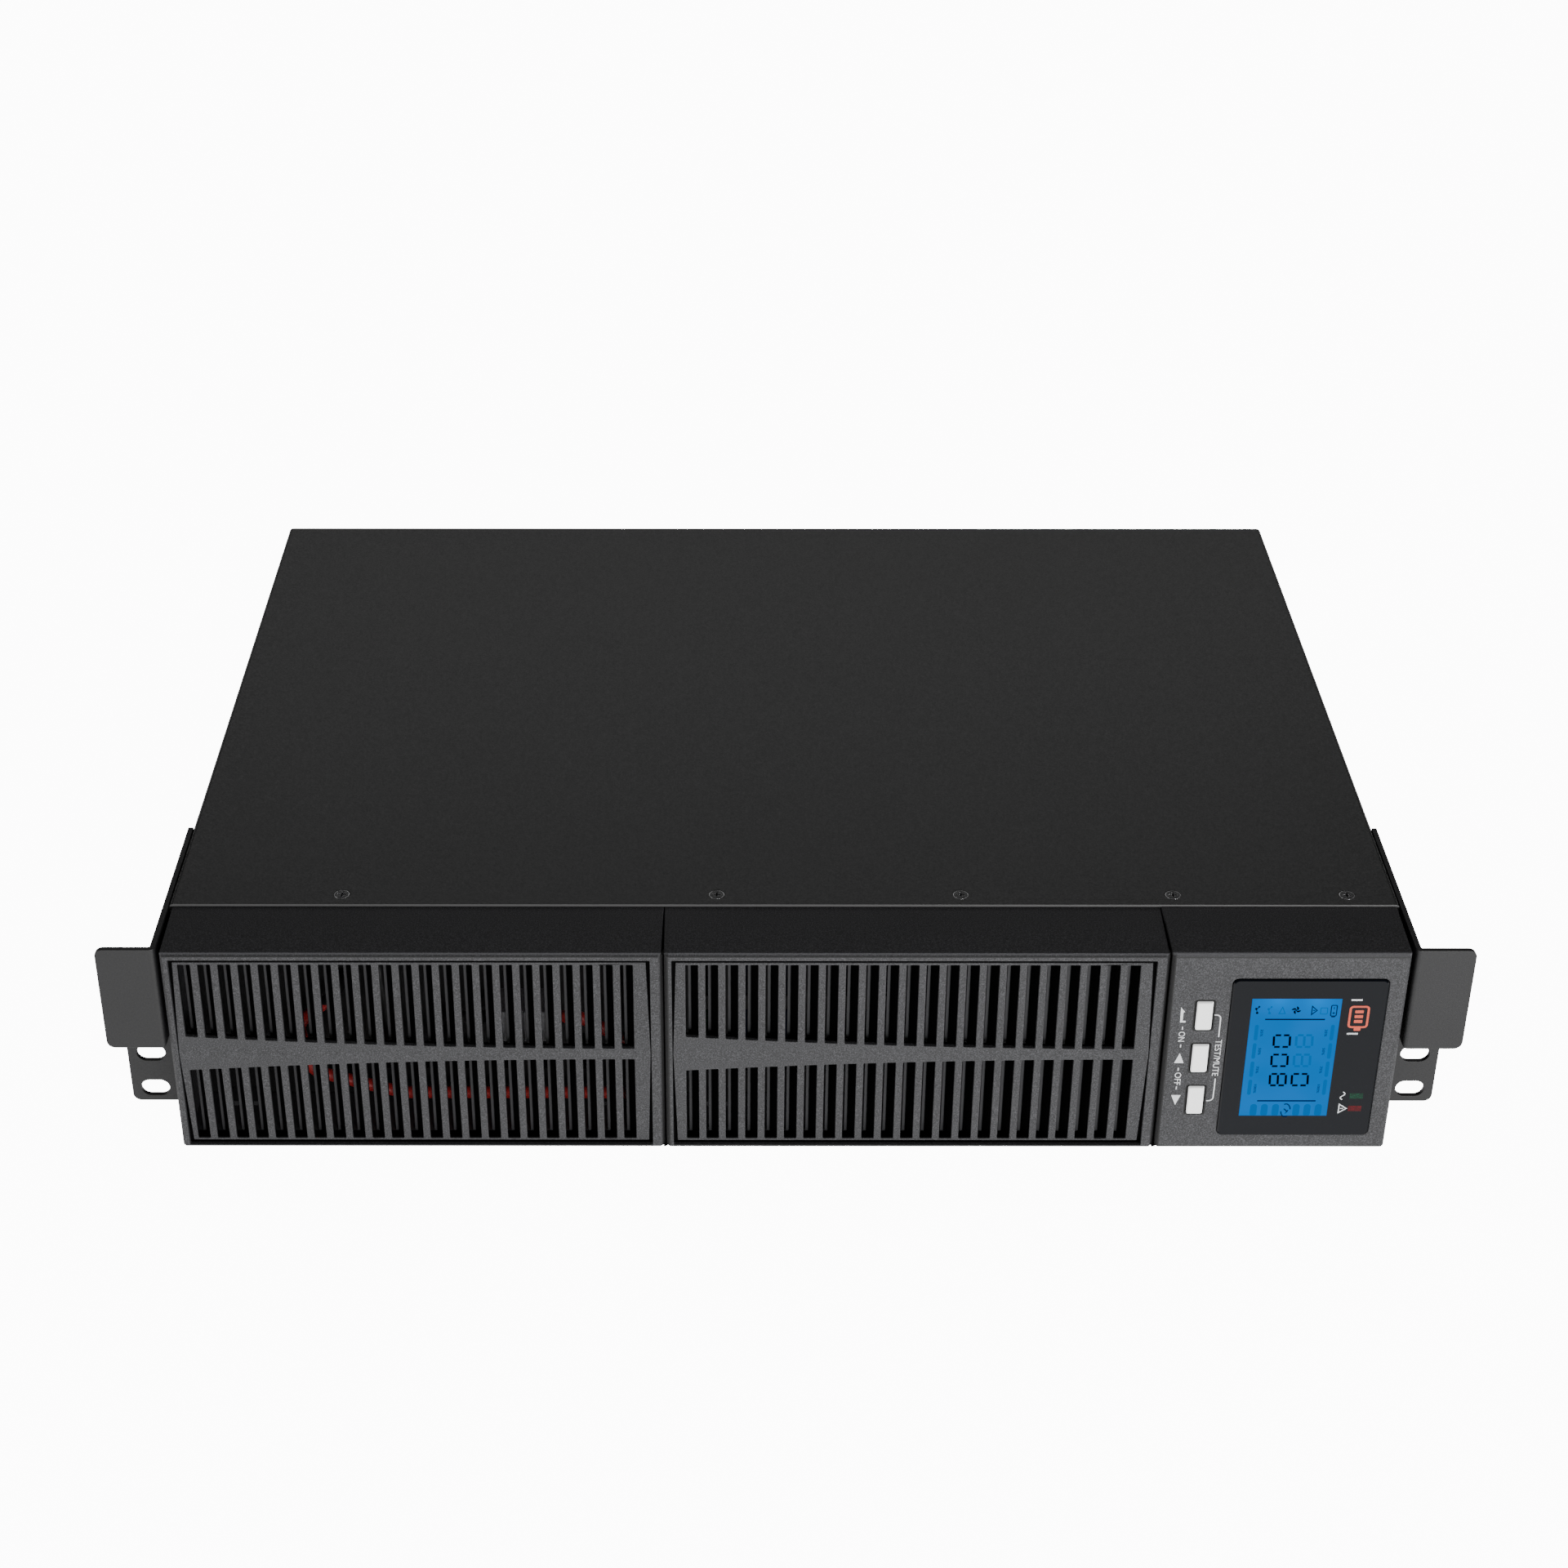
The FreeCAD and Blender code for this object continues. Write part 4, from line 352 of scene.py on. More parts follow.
def bare_metal(name, colour, gloss=0.3, brushed=(1, 1, 1), spangle=0.0):
    """Plated or bare metal: drawn along one direction by fine scratches, or spangled."""
    f = Finish(name)
    scratch = f.noise(0.5 * MM, 4, 0.7, stretch=brushed)
    cloud = f.noise(4 * MM, 3, 0.5)
    f.colour(f.blend(f.remap(cloud, 0, 1), scaled(colour, 0.85), colour))
    rough = f.remap(scratch, gloss - 0.08, gloss + 0.12)
    if spangle:
        grain = f.add("ShaderNodeTexVoronoi", {"Vector": f.place}, {"Scale": 1 / spangle}).outputs["Color"]
        rough = f.remap(grain, gloss - 0.1, gloss + 0.15, 0, 1)
    f.roughness(rough)
    f.bump(scratch, 0.02 * MM, 0.3)
    return f.set(Metallic=1.0).material


def black_oxide(name):
    """Blackened steel: nearly black, with bright rims that are partly wear and partly a painted glint."""
    f = Finish(name)
    cloud = f.noise(1.2 * MM, 3, 0.6)
    # Rim mask: the bright colour is partly wear and partly a painted glint.
    rim_wear_and_glint = f.edges(0.4 * MM)
    f.colour(f.blend(rim_wear_and_glint, (0.008, 0.008, 0.009), (0.75, 0.75, 0.76)))
    f.shader_value("Metallic", f.remap(rim_wear_and_glint, 0, 1, 0.1, 0.7))
    f.roughness(f.remap(cloud, 0.24, 0.4))
    f.bump(cloud, 0.02 * MM, 0.4)
    return f.material


def circuit_board(name, colour):
    """Solder resist over copper: faint tracks as blocks of a slightly different green."""
    f = Finish(name)
    tracks = f.add("ShaderNodeTexBrick", {"Vector": f.place},
                   {"Scale": 90, "Mortar Size": 0.035, "Color1": (*colour, 1),
                    "Color2": (*scaled(colour, 1.35), 1), "Mortar": (*scaled(colour, 0.55), 1)})
    cloud = f.noise(9 * MM, 2, 0.5)
    f.colour(f.blend(f.remap(cloud, 0, 0.5), tracks.outputs["Color"], scaled(colour, 0.8)))
    f.roughness(f.remap(cloud, 0.25, 0.4))
    f.bump(tracks.outputs["Fac"], 0.03 * MM, 0.5)
    return f.material


def wound_wire(name, colour):
    """Enamelled copper turns side by side round a ring."""
    f = Finish(name)
    turns = f.add("ShaderNodeTexWave", {"Vector": f.place}, {"Scale": 160, "Distortion": 1.5, "Detail": 2})
    f.colour(f.blend(turns.outputs["Fac"], scaled(colour, 0.45), colour))
    f.roughness(f.remap(turns.outputs["Fac"], 0.45, 0.25, 0, 1))
    f.bump(turns.outputs["Fac"], 0.3 * MM, 0.8)
    return f.set(Metallic=0.85).material


def polished_lens(name, colour):
    """Acrylic printed black on its back: deep gloss with a trace of dust."""
    f = Finish(name)
    dust = f.noise(0.25 * MM, 1, 0.5)
    smear = f.noise(22 * MM, 3, 0.5)
    f.colour(f.blend(f.remap(dust, 0, 0.25, 0.68, 0.8), colour, scaled(colour, 7)))
    f.roughness(f.remap(smear, 0.12, 0.22))
    return f.set(Specular_IOR_Level=0.22).material


def lit_panel(name, low, high, box):
    """The back-lit liquid crystal, brighter beside each of the two lamps hidden along its top edge."""
    f = Finish(name)
    cloud = f.noise(14 * MM, 1, 0.5)
    middle = (box[0].x + box[1].x) / 2
    spread = 6.7 * MM
    glow = f.remap(cloud, 0, 0.2)
    for side in (-1, 1):
        lamp = (middle + side * spread, box[0].y, box[1].z - 2.5 * MM)
        away = f.add("ShaderNodeVectorMath", {0: f.place}, {1: lamp}, operation="DISTANCE").outputs["Value"]
        near = f.remap(away, 1, 0, 1 * MM, 11 * MM)
        sharper = f.add("ShaderNodeMath", {0: near}, {1: 2.2}, operation="POWER").outputs["Value"]
        added = f.add("ShaderNodeMath", {0: glow, 1: sharper}, operation="ADD", use_clamp=True)
        glow = added.outputs["Value"]
    colour = f.blend(glow, low, high)
    f.shader_value("Emission Color", colour)
    f.colour((0.0, 0.0, 0.0))
    f.set(Emission_Strength=1.0, Specular_IOR_Level=0.0)
    f.roughness(f.remap(cloud, 0.3, 0.38))
    return f.material


def ink(name, colour, gloss=0.5):
    """Screen-printed ink with slightly ragged coverage."""
    f = Finish(name)
    cover = f.noise(0.12 * MM, 2, 0.6)
    f.colour(f.blend(f.remap(cover, 0, 0.4, 0.3, 0.45), scaled(colour, 0.8), colour))
    f.roughness(f.remap(cover, gloss - 0.05, gloss + 0.1))
    return f.material


def segment(name, colour):
    """A liquid crystal segment: black to reflected light, it only dims the light behind it."""
    f = Finish(name)
    cover = f.noise(0.4 * MM, 2, 0.6)
    f.shader_value("Emission Color", f.blend(f.remap(cover, 0, 1), scaled(colour, 0.94), colour))
    f.colour((0.0, 0.0, 0.0))
    f.roughness(f.remap(cover, 0.45, 0.55))
    return f.set(Emission_Strength=1.0, Specular_IOR_Level=0.0).material


def clear_pipe(name, colour, glow):
    """Tinted light pipe, faceted inside, with a little light in it."""
    f = Finish(name)
    facets = f.cells(0.7 * MM)
    f.colour(f.blend(f.remap(facets, 0, 1, 0.1, 0.6), colour, scaled(colour, 0.35)))
    f.roughness(f.remap(facets, 0.15, 0.3, 0, 1))
    return f.set(Emission_Color=(*colour, 1), Emission_Strength=glow, Specular_IOR_Level=0.2).material


def sleeved_wire(name, colour, level):
    """Coloured insulation with a black sleeve over what lies above a level."""
    f = Finish(name)
    flow = f.noise(6 * MM, 4, 0.6)
    sleeve = f.remap(f.axes()["Z"], 0, 1, level, level + 0.2 * MM)
    insulation = f.blend(f.remap(flow, 0, 1), scaled(colour, 0.93), colour)
    f.colour(f.blend(sleeve, insulation, (0.006, 0.006, 0.006)))
    f.roughness(f.remap(flow, 0.35, 0.45))
    f.bump(f.noise(0.3 * MM, 2, 0.5), 0.01 * MM, 0.35)
    return f.material


def key_moulding(name, colour):
    """White key caps with a painted glow on their fronts, and painted shade that blackens what lies behind
    the face of the housing.
    """
    f = Finish(name)
    flow = f.noise(6 * MM, 4, 0.6)
    # Painted shade: the caps turn black from 0.15 mm behind the face.
    below = f.remap(f.axes()["Y"], 0, 1, (FACE + 0.15) * MM, (FACE + 0.5) * MM)
    cap = f.blend(f.remap(flow, 0, 1), scaled(colour, 0.96), colour)
    f.colour(f.blend(below, cap, (0.006, 0.006, 0.006)))
    # Painted light: the fronts of the caps glow, though the keys hold no lamp.
    f.shader_value("Emission Strength", f.remap(below, 0.7, 0, 0, 1))
    f.roughness(f.remap(flow, 0.38, 0.48))
    return f.set(Emission_Color=(1, 1, 1, 1)).material


def make_materials():
    black_steel = (0.0095, 0.0095, 0.0098)
    cover_low, cover_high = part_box("top_cover")
    # The depth and the lowest level of the painted highlight along the cover's front edge.
    painted_edge_highlight = (cover_low.y, cover_high.z - 0.9 * MM)
    seams = [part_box(node)[1].x for node in ("left_grille", "middle_grille")]
    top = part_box("left_grille")[1].z
    return {
        "cover_paint": powder_coat("cover_paint", black_steel, 0.4, painted_edge_highlight),
        "ear_paint": powder_coat("ear_paint", (0.008, 0.0079, 0.0086), 0.5),
        "bezel_plastic": bezel_moulding("bezel_plastic", (0.0265, 0.0265, 0.0286), top, seams),
        "lens_black": polished_lens("lens_black", (0.0015, 0.0022, 0.004)),
        "lcd_blue": lit_panel("lcd_blue", (0.0002, 0.18, 0.62), (0.0006, 0.27, 0.95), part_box("lcd_glass")),
        "diffuser_white": smooth_plastic("diffuser_white", (0.75, 0.78, 0.8), 0.5),
        "lamp_green": clear_pipe("lamp_green", (0.004, 0.045, 0.022), 0.3),
        "lamp_red": clear_pipe("lamp_red", (0.09, 0.003, 0.006), 0.5),
        "board_green": circuit_board("board_green", (0.015, 0.1, 0.035)),
        "key_white": key_moulding("key_white", (0.88, 0.88, 0.87)),
        "switch_metal": bare_metal("switch_metal", (0.6, 0.6, 0.58), 0.35),
        "screw_black": black_oxide("screw_black"),
        "zinc_sheet": bare_metal("zinc_sheet", (0.62, 0.64, 0.64), 0.36, spangle=7 * MM),
        "battery_case": spark_plastic("battery_case", (0.03, 0.03, 0.034), 0.55),
        "tab_tin": bare_metal("tab_tin", (0.72, 0.7, 0.62), 0.3),
        "insulation_red": sleeved_wire("insulation_red", (0.5, 0.03, 0.03), 50.5 * MM),
        "insulation_black": smooth_plastic("insulation_black", (0.012, 0.012, 0.012), 0.4),
        "connector_grey": spark_plastic("connector_grey", (0.2, 0.2, 0.21), 0.5),
        "post_brass": bare_metal("post_brass", (0.75, 0.55, 0.22), 0.28),
        "heatsink_aluminium": bare_metal("heatsink_aluminium", (0.75, 0.76, 0.77), 0.35, (1, 0.04, 1)),
        "package_black": spark_plastic("package_black", (0.018, 0.018, 0.018), 0.45),
        "capacitor_sleeve": smooth_plastic("capacitor_sleeve", (0.012, 0.016, 0.04), 0.22),
        "copper_wire": wound_wire("copper_wire", (0.75, 0.3, 0.1)),
        "ferrite": spark_plastic("ferrite", (0.05, 0.05, 0.055), 0.6),
        "winding_tape": smooth_plastic("winding_tape", (0.75, 0.52, 0.05), 0.25),
        "relay_case": smooth_plastic("relay_case", (0.03, 0.06, 0.22), 0.3),
        "film_box": smooth_plastic("film_box", (0.6, 0.45, 0.1), 0.25),
        "fan_black": smooth_plastic("fan_black", (0.014, 0.014, 0.015), 0.38),
        "guard_chrome": bare_metal("guard_chrome", (0.78, 0.78, 0.8), 0.14),
        "socket_black": spark_plastic("socket_black", (0.02, 0.02, 0.021), 0.42),
        "nickel_shell": bare_metal("nickel_shell", (0.68, 0.67, 0.64), 0.26),
        "button_grey": smooth_plastic("button_grey", (0.16, 0.16, 0.165), 0.4),
    }


# ---------------------------------------------------------------- refined copies of CAD nodes


def add_mesh(name, mesh, body, slot, material, replaced=()):
    piece = bpy.data.objects.new(name, mesh)
    bpy.context.scene.collection.objects.link(piece)
    mesh.materials.clear()
    mesh.materials.append(material)
    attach(piece, body)
    if replaced:
        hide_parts(*replaced)
    return piece


def clean_copy(node):
    """The node's mesh with its shared corners joined."""
    mesh = NODES[node].data.copy()
    shape = bmesh.new()
    shape.from_mesh(mesh)
    bmesh.ops.remove_doubles(shape, verts=shape.verts, dist=0.001 * MM)
    bmesh.ops.dissolve_degenerate(shape, dist=0.004 * MM, edges=shape.edges)
    if node in PLAIN:
        flat = math.radians(0.5)
        bmesh.ops.dissolve_limit(shape, angle_limit=flat, verts=shape.verts, edges=shape.edges)
    shape.to_mesh(mesh)
    shape.free()
    return mesh


def apply_modifiers(piece):
    graph = bpy.context.evaluated_depsgraph_get()
    finished = bpy.data.meshes.new_from_object(piece.evaluated_get(graph), depsgraph=graph)
    piece.modifiers.clear()
    piece.data = finished


def soften(piece, width):
    """Rounds every edge sharper than 32 degrees and keeps the flats flat-shaded."""
    bevel = piece.modifiers.new("rounding", "BEVEL")
    bevel.width = width
    bevel.segments = 2
    bevel.limit_method = "ANGLE"
    bevel.angle_limit = math.radians(32)
    bevel.use_clamp_overlap = False
    bevel.miter_outer = "MITER_ARC"
    bevel.harden_normals = False
    bevel.face_strength_mode = "FSTR_ALL"
    piece.data.shade_smooth()
    weighted = piece.modifiers.new("shading", "WEIGHTED_NORMAL")
    weighted.keep_sharp = True
    weighted.weight = 80
    weighted.use_face_influence = True
    apply_modifiers(piece)


def shell(node):
    """A copy of the node that takes its place."""
    slot = SLOT_OF[node]
    return add_mesh(f"{node}_shell", clean_copy(node), BODY_OF[node], slot, MATERIALS[slot], [node])


# Flat sheets and mouldings whose coplanar faces are joined.
PLAIN = ("top_cover", "base_pan", "display_housing", "left_ear", "right_ear", "front_plate",
         "battery_door", "card_slot_cover", "battery_tray", "divider_wall")

# The width of the rounding along the edges of each node, in millimetres.
ROUNDED = {
    "left_grille": 0.25, "middle_grille": 0.25, "display_housing": 0.35,
    "top_cover": 0.3, "base_pan": 0.3, "front_plate": 0.2, "battery_door": 0.2,
    "card_slot_cover": 0.3, "left_ear": 0.3, "right_ear": 0.3,
    "key_enter": 0.12, "key_up": 0.12, "key_down": 0.12,
    "mains_inlet": 0.4, "outlet_sockets": 0.4, "input_breaker": 0.4, "breaker_button": 0.5,
    "serial_port": 0.2, "usb_port": 0.2, "surge_sockets": 0.3,
    "left_fan_frame": 0.3, "right_fan_frame": 0.3, "left_fan_rotor": 0.2, "right_fan_rotor": 0.2,
    "fan_guards": 0.2, "cover_screws": 0.1, "side_screws": 0.12, "ear_screws": 0.15,
    "door_screws": 0.1, "rear_screws": 0.12,
    "battery_connector": 0.4, "battery_tray": 0.2, "divider_wall": 0.2, "front_battery": 0.4,
    "rear_battery": 0.4, "battery_terminals": 0.1, "inverter_heatsink": 0.3, "rectifier_heatsink": 0.3,
    "power_transistors": 0.3, "bus_capacitors": 0.5, "transformer_core": 0.3, "transformer_winding": 0.6,
    "relays": 0.4, "filter_capacitors": 0.6, "main_board": 0.1, "control_board": 0.1, "display_board": 0.1,
    "key_switches": 0.15, "board_standoffs": 0.15, "backlight": 0.3, "lamp_green": 0.15, "lamp_red": 0.15,
}

SMOOTHED = ("battery_lead_red", "battery_lead_black", "battery_link", "inverter_inductor",
            "rectifier_inductor")


def smooth(node):
    piece = shell(node)
    piece.data.shade_smooth()
    piece.data.set_sharp_from_angle(angle=math.radians(40))


def islands(node):
    """The box of each separate solid of a CAD node."""
    shape = bmesh.new()
    shape.from_mesh(NODES[node].data)
    bmesh.ops.remove_doubles(shape, verts=shape.verts, dist=0.001 * MM)
    left = set(shape.verts)
    boxes = []
    while left:
        reached = {left.pop()}
        edge = list(reached)
        while edge:
            vert = edge.pop()
            fresh = {other for link in vert.link_edges for other in link.verts} - reached
            reached |= fresh
            edge += fresh
        left -= reached
        places = [v.co for v in reached]
        boxes.append((Vector(map(min, zip(*places))), Vector(map(max, zip(*places)))))
    shape.free()
    return sorted(boxes, key=lambda box: tuple(box[0]))


def screw_rims():
    """A bright metal ring round the head of every cover screw: partly burnished wear, partly put there to
    stand in for the highlight on the rim.
    """
    bright = bare_metal("rim_bright", (0.75, 0.75, 0.76), 0.3)
    for low, high in islands("cover_screws"):
        centre = ((low.x + high.x) / 2, (low.y + high.y) / 2, high.z - 0.13 * MM)
        bpy.ops.mesh.primitive_torus_add(
            major_segments=40, minor_segments=8, major_radius=(high.x - low.x) / 2 - 0.05 * MM,
            minor_radius=0.12 * MM, location=centre)
        made = bpy.context.active_object
        mesh = made.data.copy()
        mesh.transform(made.matrix_world)
        bpy.data.objects.remove(made)
        mesh.shade_smooth()
        body, slot = BODY_OF["cover_screws"], SLOT_OF["cover_screws"]
        add_mesh(f"screw_rim_{round(low.x / MM)}", mesh, body, slot, bright)


def seam_piece(name, node, outline, back, thick):
    slot = SLOT_OF[node]
    printed(name, [outline], back, slot, MATERIALS[slot], BODY_OF[node], thick)


def seam_ribs():
    """The counterpart of each bezel's seam rib, on the bezel to its right, and under each seam a thin sheet
    that closes the bottom of the gap so that it shows dark, a stand-in for the shade that hides the floor
    there.
    """
    for left, right in (("left_grille", "middle_grille"), ("middle_grille", "display_housing")):
        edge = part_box(left)[1].x / MM
        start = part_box(right)[0].x / MM
        near, wall, low, high = edge - RIB_OVERLAP, start + 0.3, 0.3, 83
        outline = [(near, low), (wall, low), (wall, high), (near, high)]
        seam_piece(f"{right}_rib", right, outline, FACE + RIB_BACK, RIB_THICK)
        for node, inner, outer, level in ((left, edge - 0.6, edge + 0.1, 0.02),
                                          (right, start + 0.6, edge + 0.02, 0.18)):
            top = level + SILL_THICK
            shade_sill = [(inner, level), (outer, level), (outer, top), (inner, top)]
            seam_piece(f"{node}_sill_{right}", node, shade_sill, FACE + SILL_BACK, SILL_LONG)


def refine_all():
    for node, width in ROUNDED.items():
        soften(shell(node), width * MM)
    for node in SMOOTHED:
        smooth(node)
    for node in NODES:
        if node not in ROUNDED and node not in SMOOTHED and not NODES[node].hide_render:
            NODES[node].data.materials.clear()
            NODES[node].data.materials.append(MATERIALS[SLOT_OF[node]])


# ---------------------------------------------------------------- flat shapes on the front


def arc(centre, radius, start, end, steps=12):
    """Points on an ellipse from one angle to another; radius is a number or (along x, along z)."""
    across, up = radius if isinstance(radius, tuple) else (radius, radius)
    turns = [math.radians(start + (end - start) * i / steps) for i in range(steps + 1)]
    return [(centre[0] + across * math.cos(t), centre[1] + up * math.sin(t)) for t in turns]


def ribbon(points, width, closed=False):
    """The outline quads of a line of even width along the points, mitred at its corners."""
    count = len(points)
    left, right = [], []
    for i, point in enumerate(points):
        here = Vector(point)
        before = Vector(points[i - 1]) if i or closed else None
        after = Vector(points[(i + 1) % count]) if i < count - 1 or closed else None
        into = (here - before).normalized() if before is not None else None
        out = (after - here).normalized() if after is not None else None
        into = into or out
        out = out or into
        side = Vector((-(into + out).y, (into + out).x)).normalized()
        reach = width / 2 / max(0.35, side.dot(Vector((-into.y, into.x))))
        left.append(here + side * reach)
        right.append(here - side * reach)
    last = count if closed else count - 1
    return [[left[i], right[i], right[(i + 1) % count], left[(i + 1) % count]] for i in range(last)]


def rounded_box(left, low, right, high, radius, steps=4):
    corners = [((right - radius, high - radius), 0), ((left + radius, high - radius), 90),
               ((left + radius, low + radius), 180), ((right - radius, low + radius), 270)]
    return [p for centre, start in corners for p in arc(centre, radius, start, start + 90, steps)]


def disc(centre, radius, steps=16):
    return arc(centre, radius, 0, 360 - 360 / steps, steps - 1)


def raise_faces(shape, height):
    """Closes flat faces that look towards -Y into solids, always in the same order."""
    base = shape.faces[:]
    loops = [loop for side in base for loop in side.loops]
    border = [(loop.vert, loop.link_loop_next.vert) for loop in loops if len(loop.edge.link_faces) == 1]
    outlines = [side.verts[:] for side in base]
    step = Vector((0, -height, 0))
    front = {v: shape.verts.new(v.co + step) for v in shape.verts[:] if v.link_faces}
    for outline in outlines:
        shape.faces.new([front[v] for v in outline])
    for first, second in border:
        shape.faces.new([first, second, front[second], front[first]])
    for side in base:
        side.normal_flip()


def printed(name, shapes, face, slot, material, body="display_module", thick=INK):
    """Flat shapes, in millimetres across x and z, raised by their thickness from a face at that depth."""
    shape = bmesh.new()
    corners = {}
    for outline in shapes:
        ring = []
        for point in outline:
            key = (round(point[0], 4), round(point[1], 4))
            if key not in corners:
                corners[key] = shape.verts.new((key[0] * MM, face * MM, key[1] * MM))
            if corners[key] not in ring:
                ring.append(corners[key])
        if len(ring) > 2 and not shape.faces.get(ring):
            shape.faces.new(ring)
    bmesh.ops.recalc_face_normals(shape, faces=shape.faces)
    for side in shape.faces:
        if side.normal.y > 0:
            side.normal_flip()
    raise_faces(shape, thick * MM)
    mesh = bpy.data.meshes.new(name)
    shape.to_mesh(mesh)
    shape.free()
    return add_mesh(name, mesh, body, slot, material)


def lettering(name, text, start, height, reach, face, slot, material):
    """Plain capitals that read downwards, their tops towards +X, fitted to a height and a length."""
    curve = bpy.data.curves.new(name, "FONT")
    curve.body = text
    curve.extrude = INK / 2
    curve.resolution_u = 4
    words = bpy.data.objects.new(f"{name}_source", curve)
    bpy.context.scene.collection.objects.link(words)
    bpy.context.view_layer.update()
    mesh = bpy.data.meshes.new_from_object(words.evaluated_get(bpy.context.evaluated_depsgraph_get()))
    bpy.data.objects.remove(words)
    xs = [v.co.x for v in mesh.vertices]
    ys = [v.co.y for v in mesh.vertices]
    along = reach / (max(xs) - min(xs))
    up = height / (max(ys) - min(ys))
    for v in mesh.vertices:
        read, rise, out = (v.co.x - min(xs)) * along, (v.co.y - min(ys)) * up, v.co.z
        v.co = Vector((start[0] + rise, face - INK / 2 - out, start[1] - read)) * MM
    mesh.name = name
    return add_mesh(name, mesh, "display_module", slot, material)


def key_legends():
    """White print round the three keys: generic words, arrows and the line that joins two keys."""
    white = ink("legend_white", (0.85, 0.86, 0.88))
    x = 140.75
    enter = [(139.55, 62.3), (141.15, 60.2), (140.55, 60.05), (140.55, 56.45), (141.65, 56.45),
             (141.65, 55.7), (139.65, 55.7), (139.6, 60)]
    half = [[enter[0], enter[1], enter[2], enter[7]], [enter[7], enter[2], enter[3], (139.65, 56.45)],
            [(139.65, 56.45), enter[3], enter[4], enter[5], enter[6]]]
    rise = [(x, 42.3), (x - 1.7, 37.9), (x + 1.7, 37.9)]
    fall = [(x + 0.15, 19.2), (x - 1.55, 23.6), (x + 1.85, 23.6)]
    dashes = [ribbon([(x, top), (x, top - 1.3)], 0.42) for top in (53.9, 46.1, 35.8, 27.5)]
    bend = 1.6
    upper = [(151.6, 59.0)] + arc((152.3, 59.0 - bend), bend, 90, 0, 6) + [(153.9, 49.4)]
    lower = [(154.35, 31.0)] + arc((152.75, 21.1 + bend), bend, 0, -90, 6) + [(152.0, 21.1)]
    shapes = half + [rise, fall] + [quad for dash in dashes for quad in dash]
    shapes += ribbon(upper, 0.42) + ribbon(lower, 0.42)
    # Painted shade: a dark ring round each key hole, the shadow line of the gap round the key.
    shade_rims = []
    for node in ("key_enter", "key_up", "key_down"):
        low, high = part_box(node)
        middle, level = (low.x + high.x) / 2 / MM, (low.z + high.z) / 2 / MM
        outline = rounded_box(middle - 3.6, level - 6.55, middle + 3.6, level + 6.55, 0.9)
        shade_rims += ribbon(outline, 0.45, closed=True)
    printed("key_shade_rims", shade_rims, FACE, "bezel_plastic", ink("rim_shade", (0.002, 0.002, 0.002), 0.7), thick=0.01)
    printed("key_legends", shapes, FACE, "key_white", white)
    lettering("legend_on", "ON", (139.6, 51.7), 2.3, 4.3, FACE, "key_white", white)
    lettering("legend_off", "OFF", (139.75, 33.7), 2.3, 5.6, FACE, "key_white", white)
    lettering("legend_test", "TEST/MUTE", (153.0, 48.2), 2.25, 16.0, FACE, "key_white", white)


def lens():
    """Black-printed lens with a flush clear window: a rounded plate, its face cut round the window."""
    low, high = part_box("display_lens")
    left, bottom, right, top = low.x / MM, low.z / MM, high.x / MM, high.z / MM
    steps = 6
    outer = rounded_box(left, bottom, right, top, 2.4, steps)
    inner = [Vector((WINDOW[2], WINDOW[3])), Vector((WINDOW[0], WINDOW[3])),
             Vector((WINDOW[0], WINDOW[1])), Vector((WINDOW[2], WINDOW[1]))]
    shape = bmesh.new()
    edge = 0.45

    def loop(points, depth):
        return [shape.verts.new((x * MM, depth * MM, z * MM)) for x, z in points]

    inset = rounded_box(left + edge, bottom + edge, right - edge, top - edge, 2.4 - edge, steps)
    back, waist, face = loop(outer, high.y / MM), loop(outer, low.y / MM + edge), loop(inset, low.y / MM)
    hole = loop(inner, low.y / MM)
    count = len(outer)
    for first, second in ((back, waist), (waist, face)):
        for i in range(count):
            shape.faces.new([first[i], first[(i + 1) % count], second[(i + 1) % count], second[i]])
    per = steps + 1

    def cap(ring, opening):
        """Faces between a rounded ring and the corners of the window in it."""
        for side in range(4):
            chain = [ring[(side * per + k) % count] for k in range(per)]
            for a, b in zip(chain, chain[1:]):
                shape.faces.new([a, b, opening[side]])
            following = ring[(side * per + per) % count]
            shape.faces.new([chain[-1], following, opening[(side + 1) % 4], opening[side]])

    cap(face, hole)
    wall = loop(inner, high.y / MM)
    for i in range(4):
        shape.faces.new([hole[i], hole[(i + 1) % 4], wall[(i + 1) % 4], wall[i]])
    cap(back, wall)
    bmesh.ops.recalc_face_normals(shape, faces=shape.faces)
    mesh = bpy.data.meshes.new("lens_plate")
    shape.to_mesh(mesh)
    shape.free()
    mesh.set_sharp_from_angle(angle=math.radians(20))
    add_mesh("lens_plate", mesh, "display_module", "lens_black", MATERIALS["lens_black"], ["display_lens"])
    printed("display_window", [inner], high.y / MM, "lcd_blue", MATERIALS["lcd_blue"],
            thick=(high.y - low.y) / MM - 0.02)


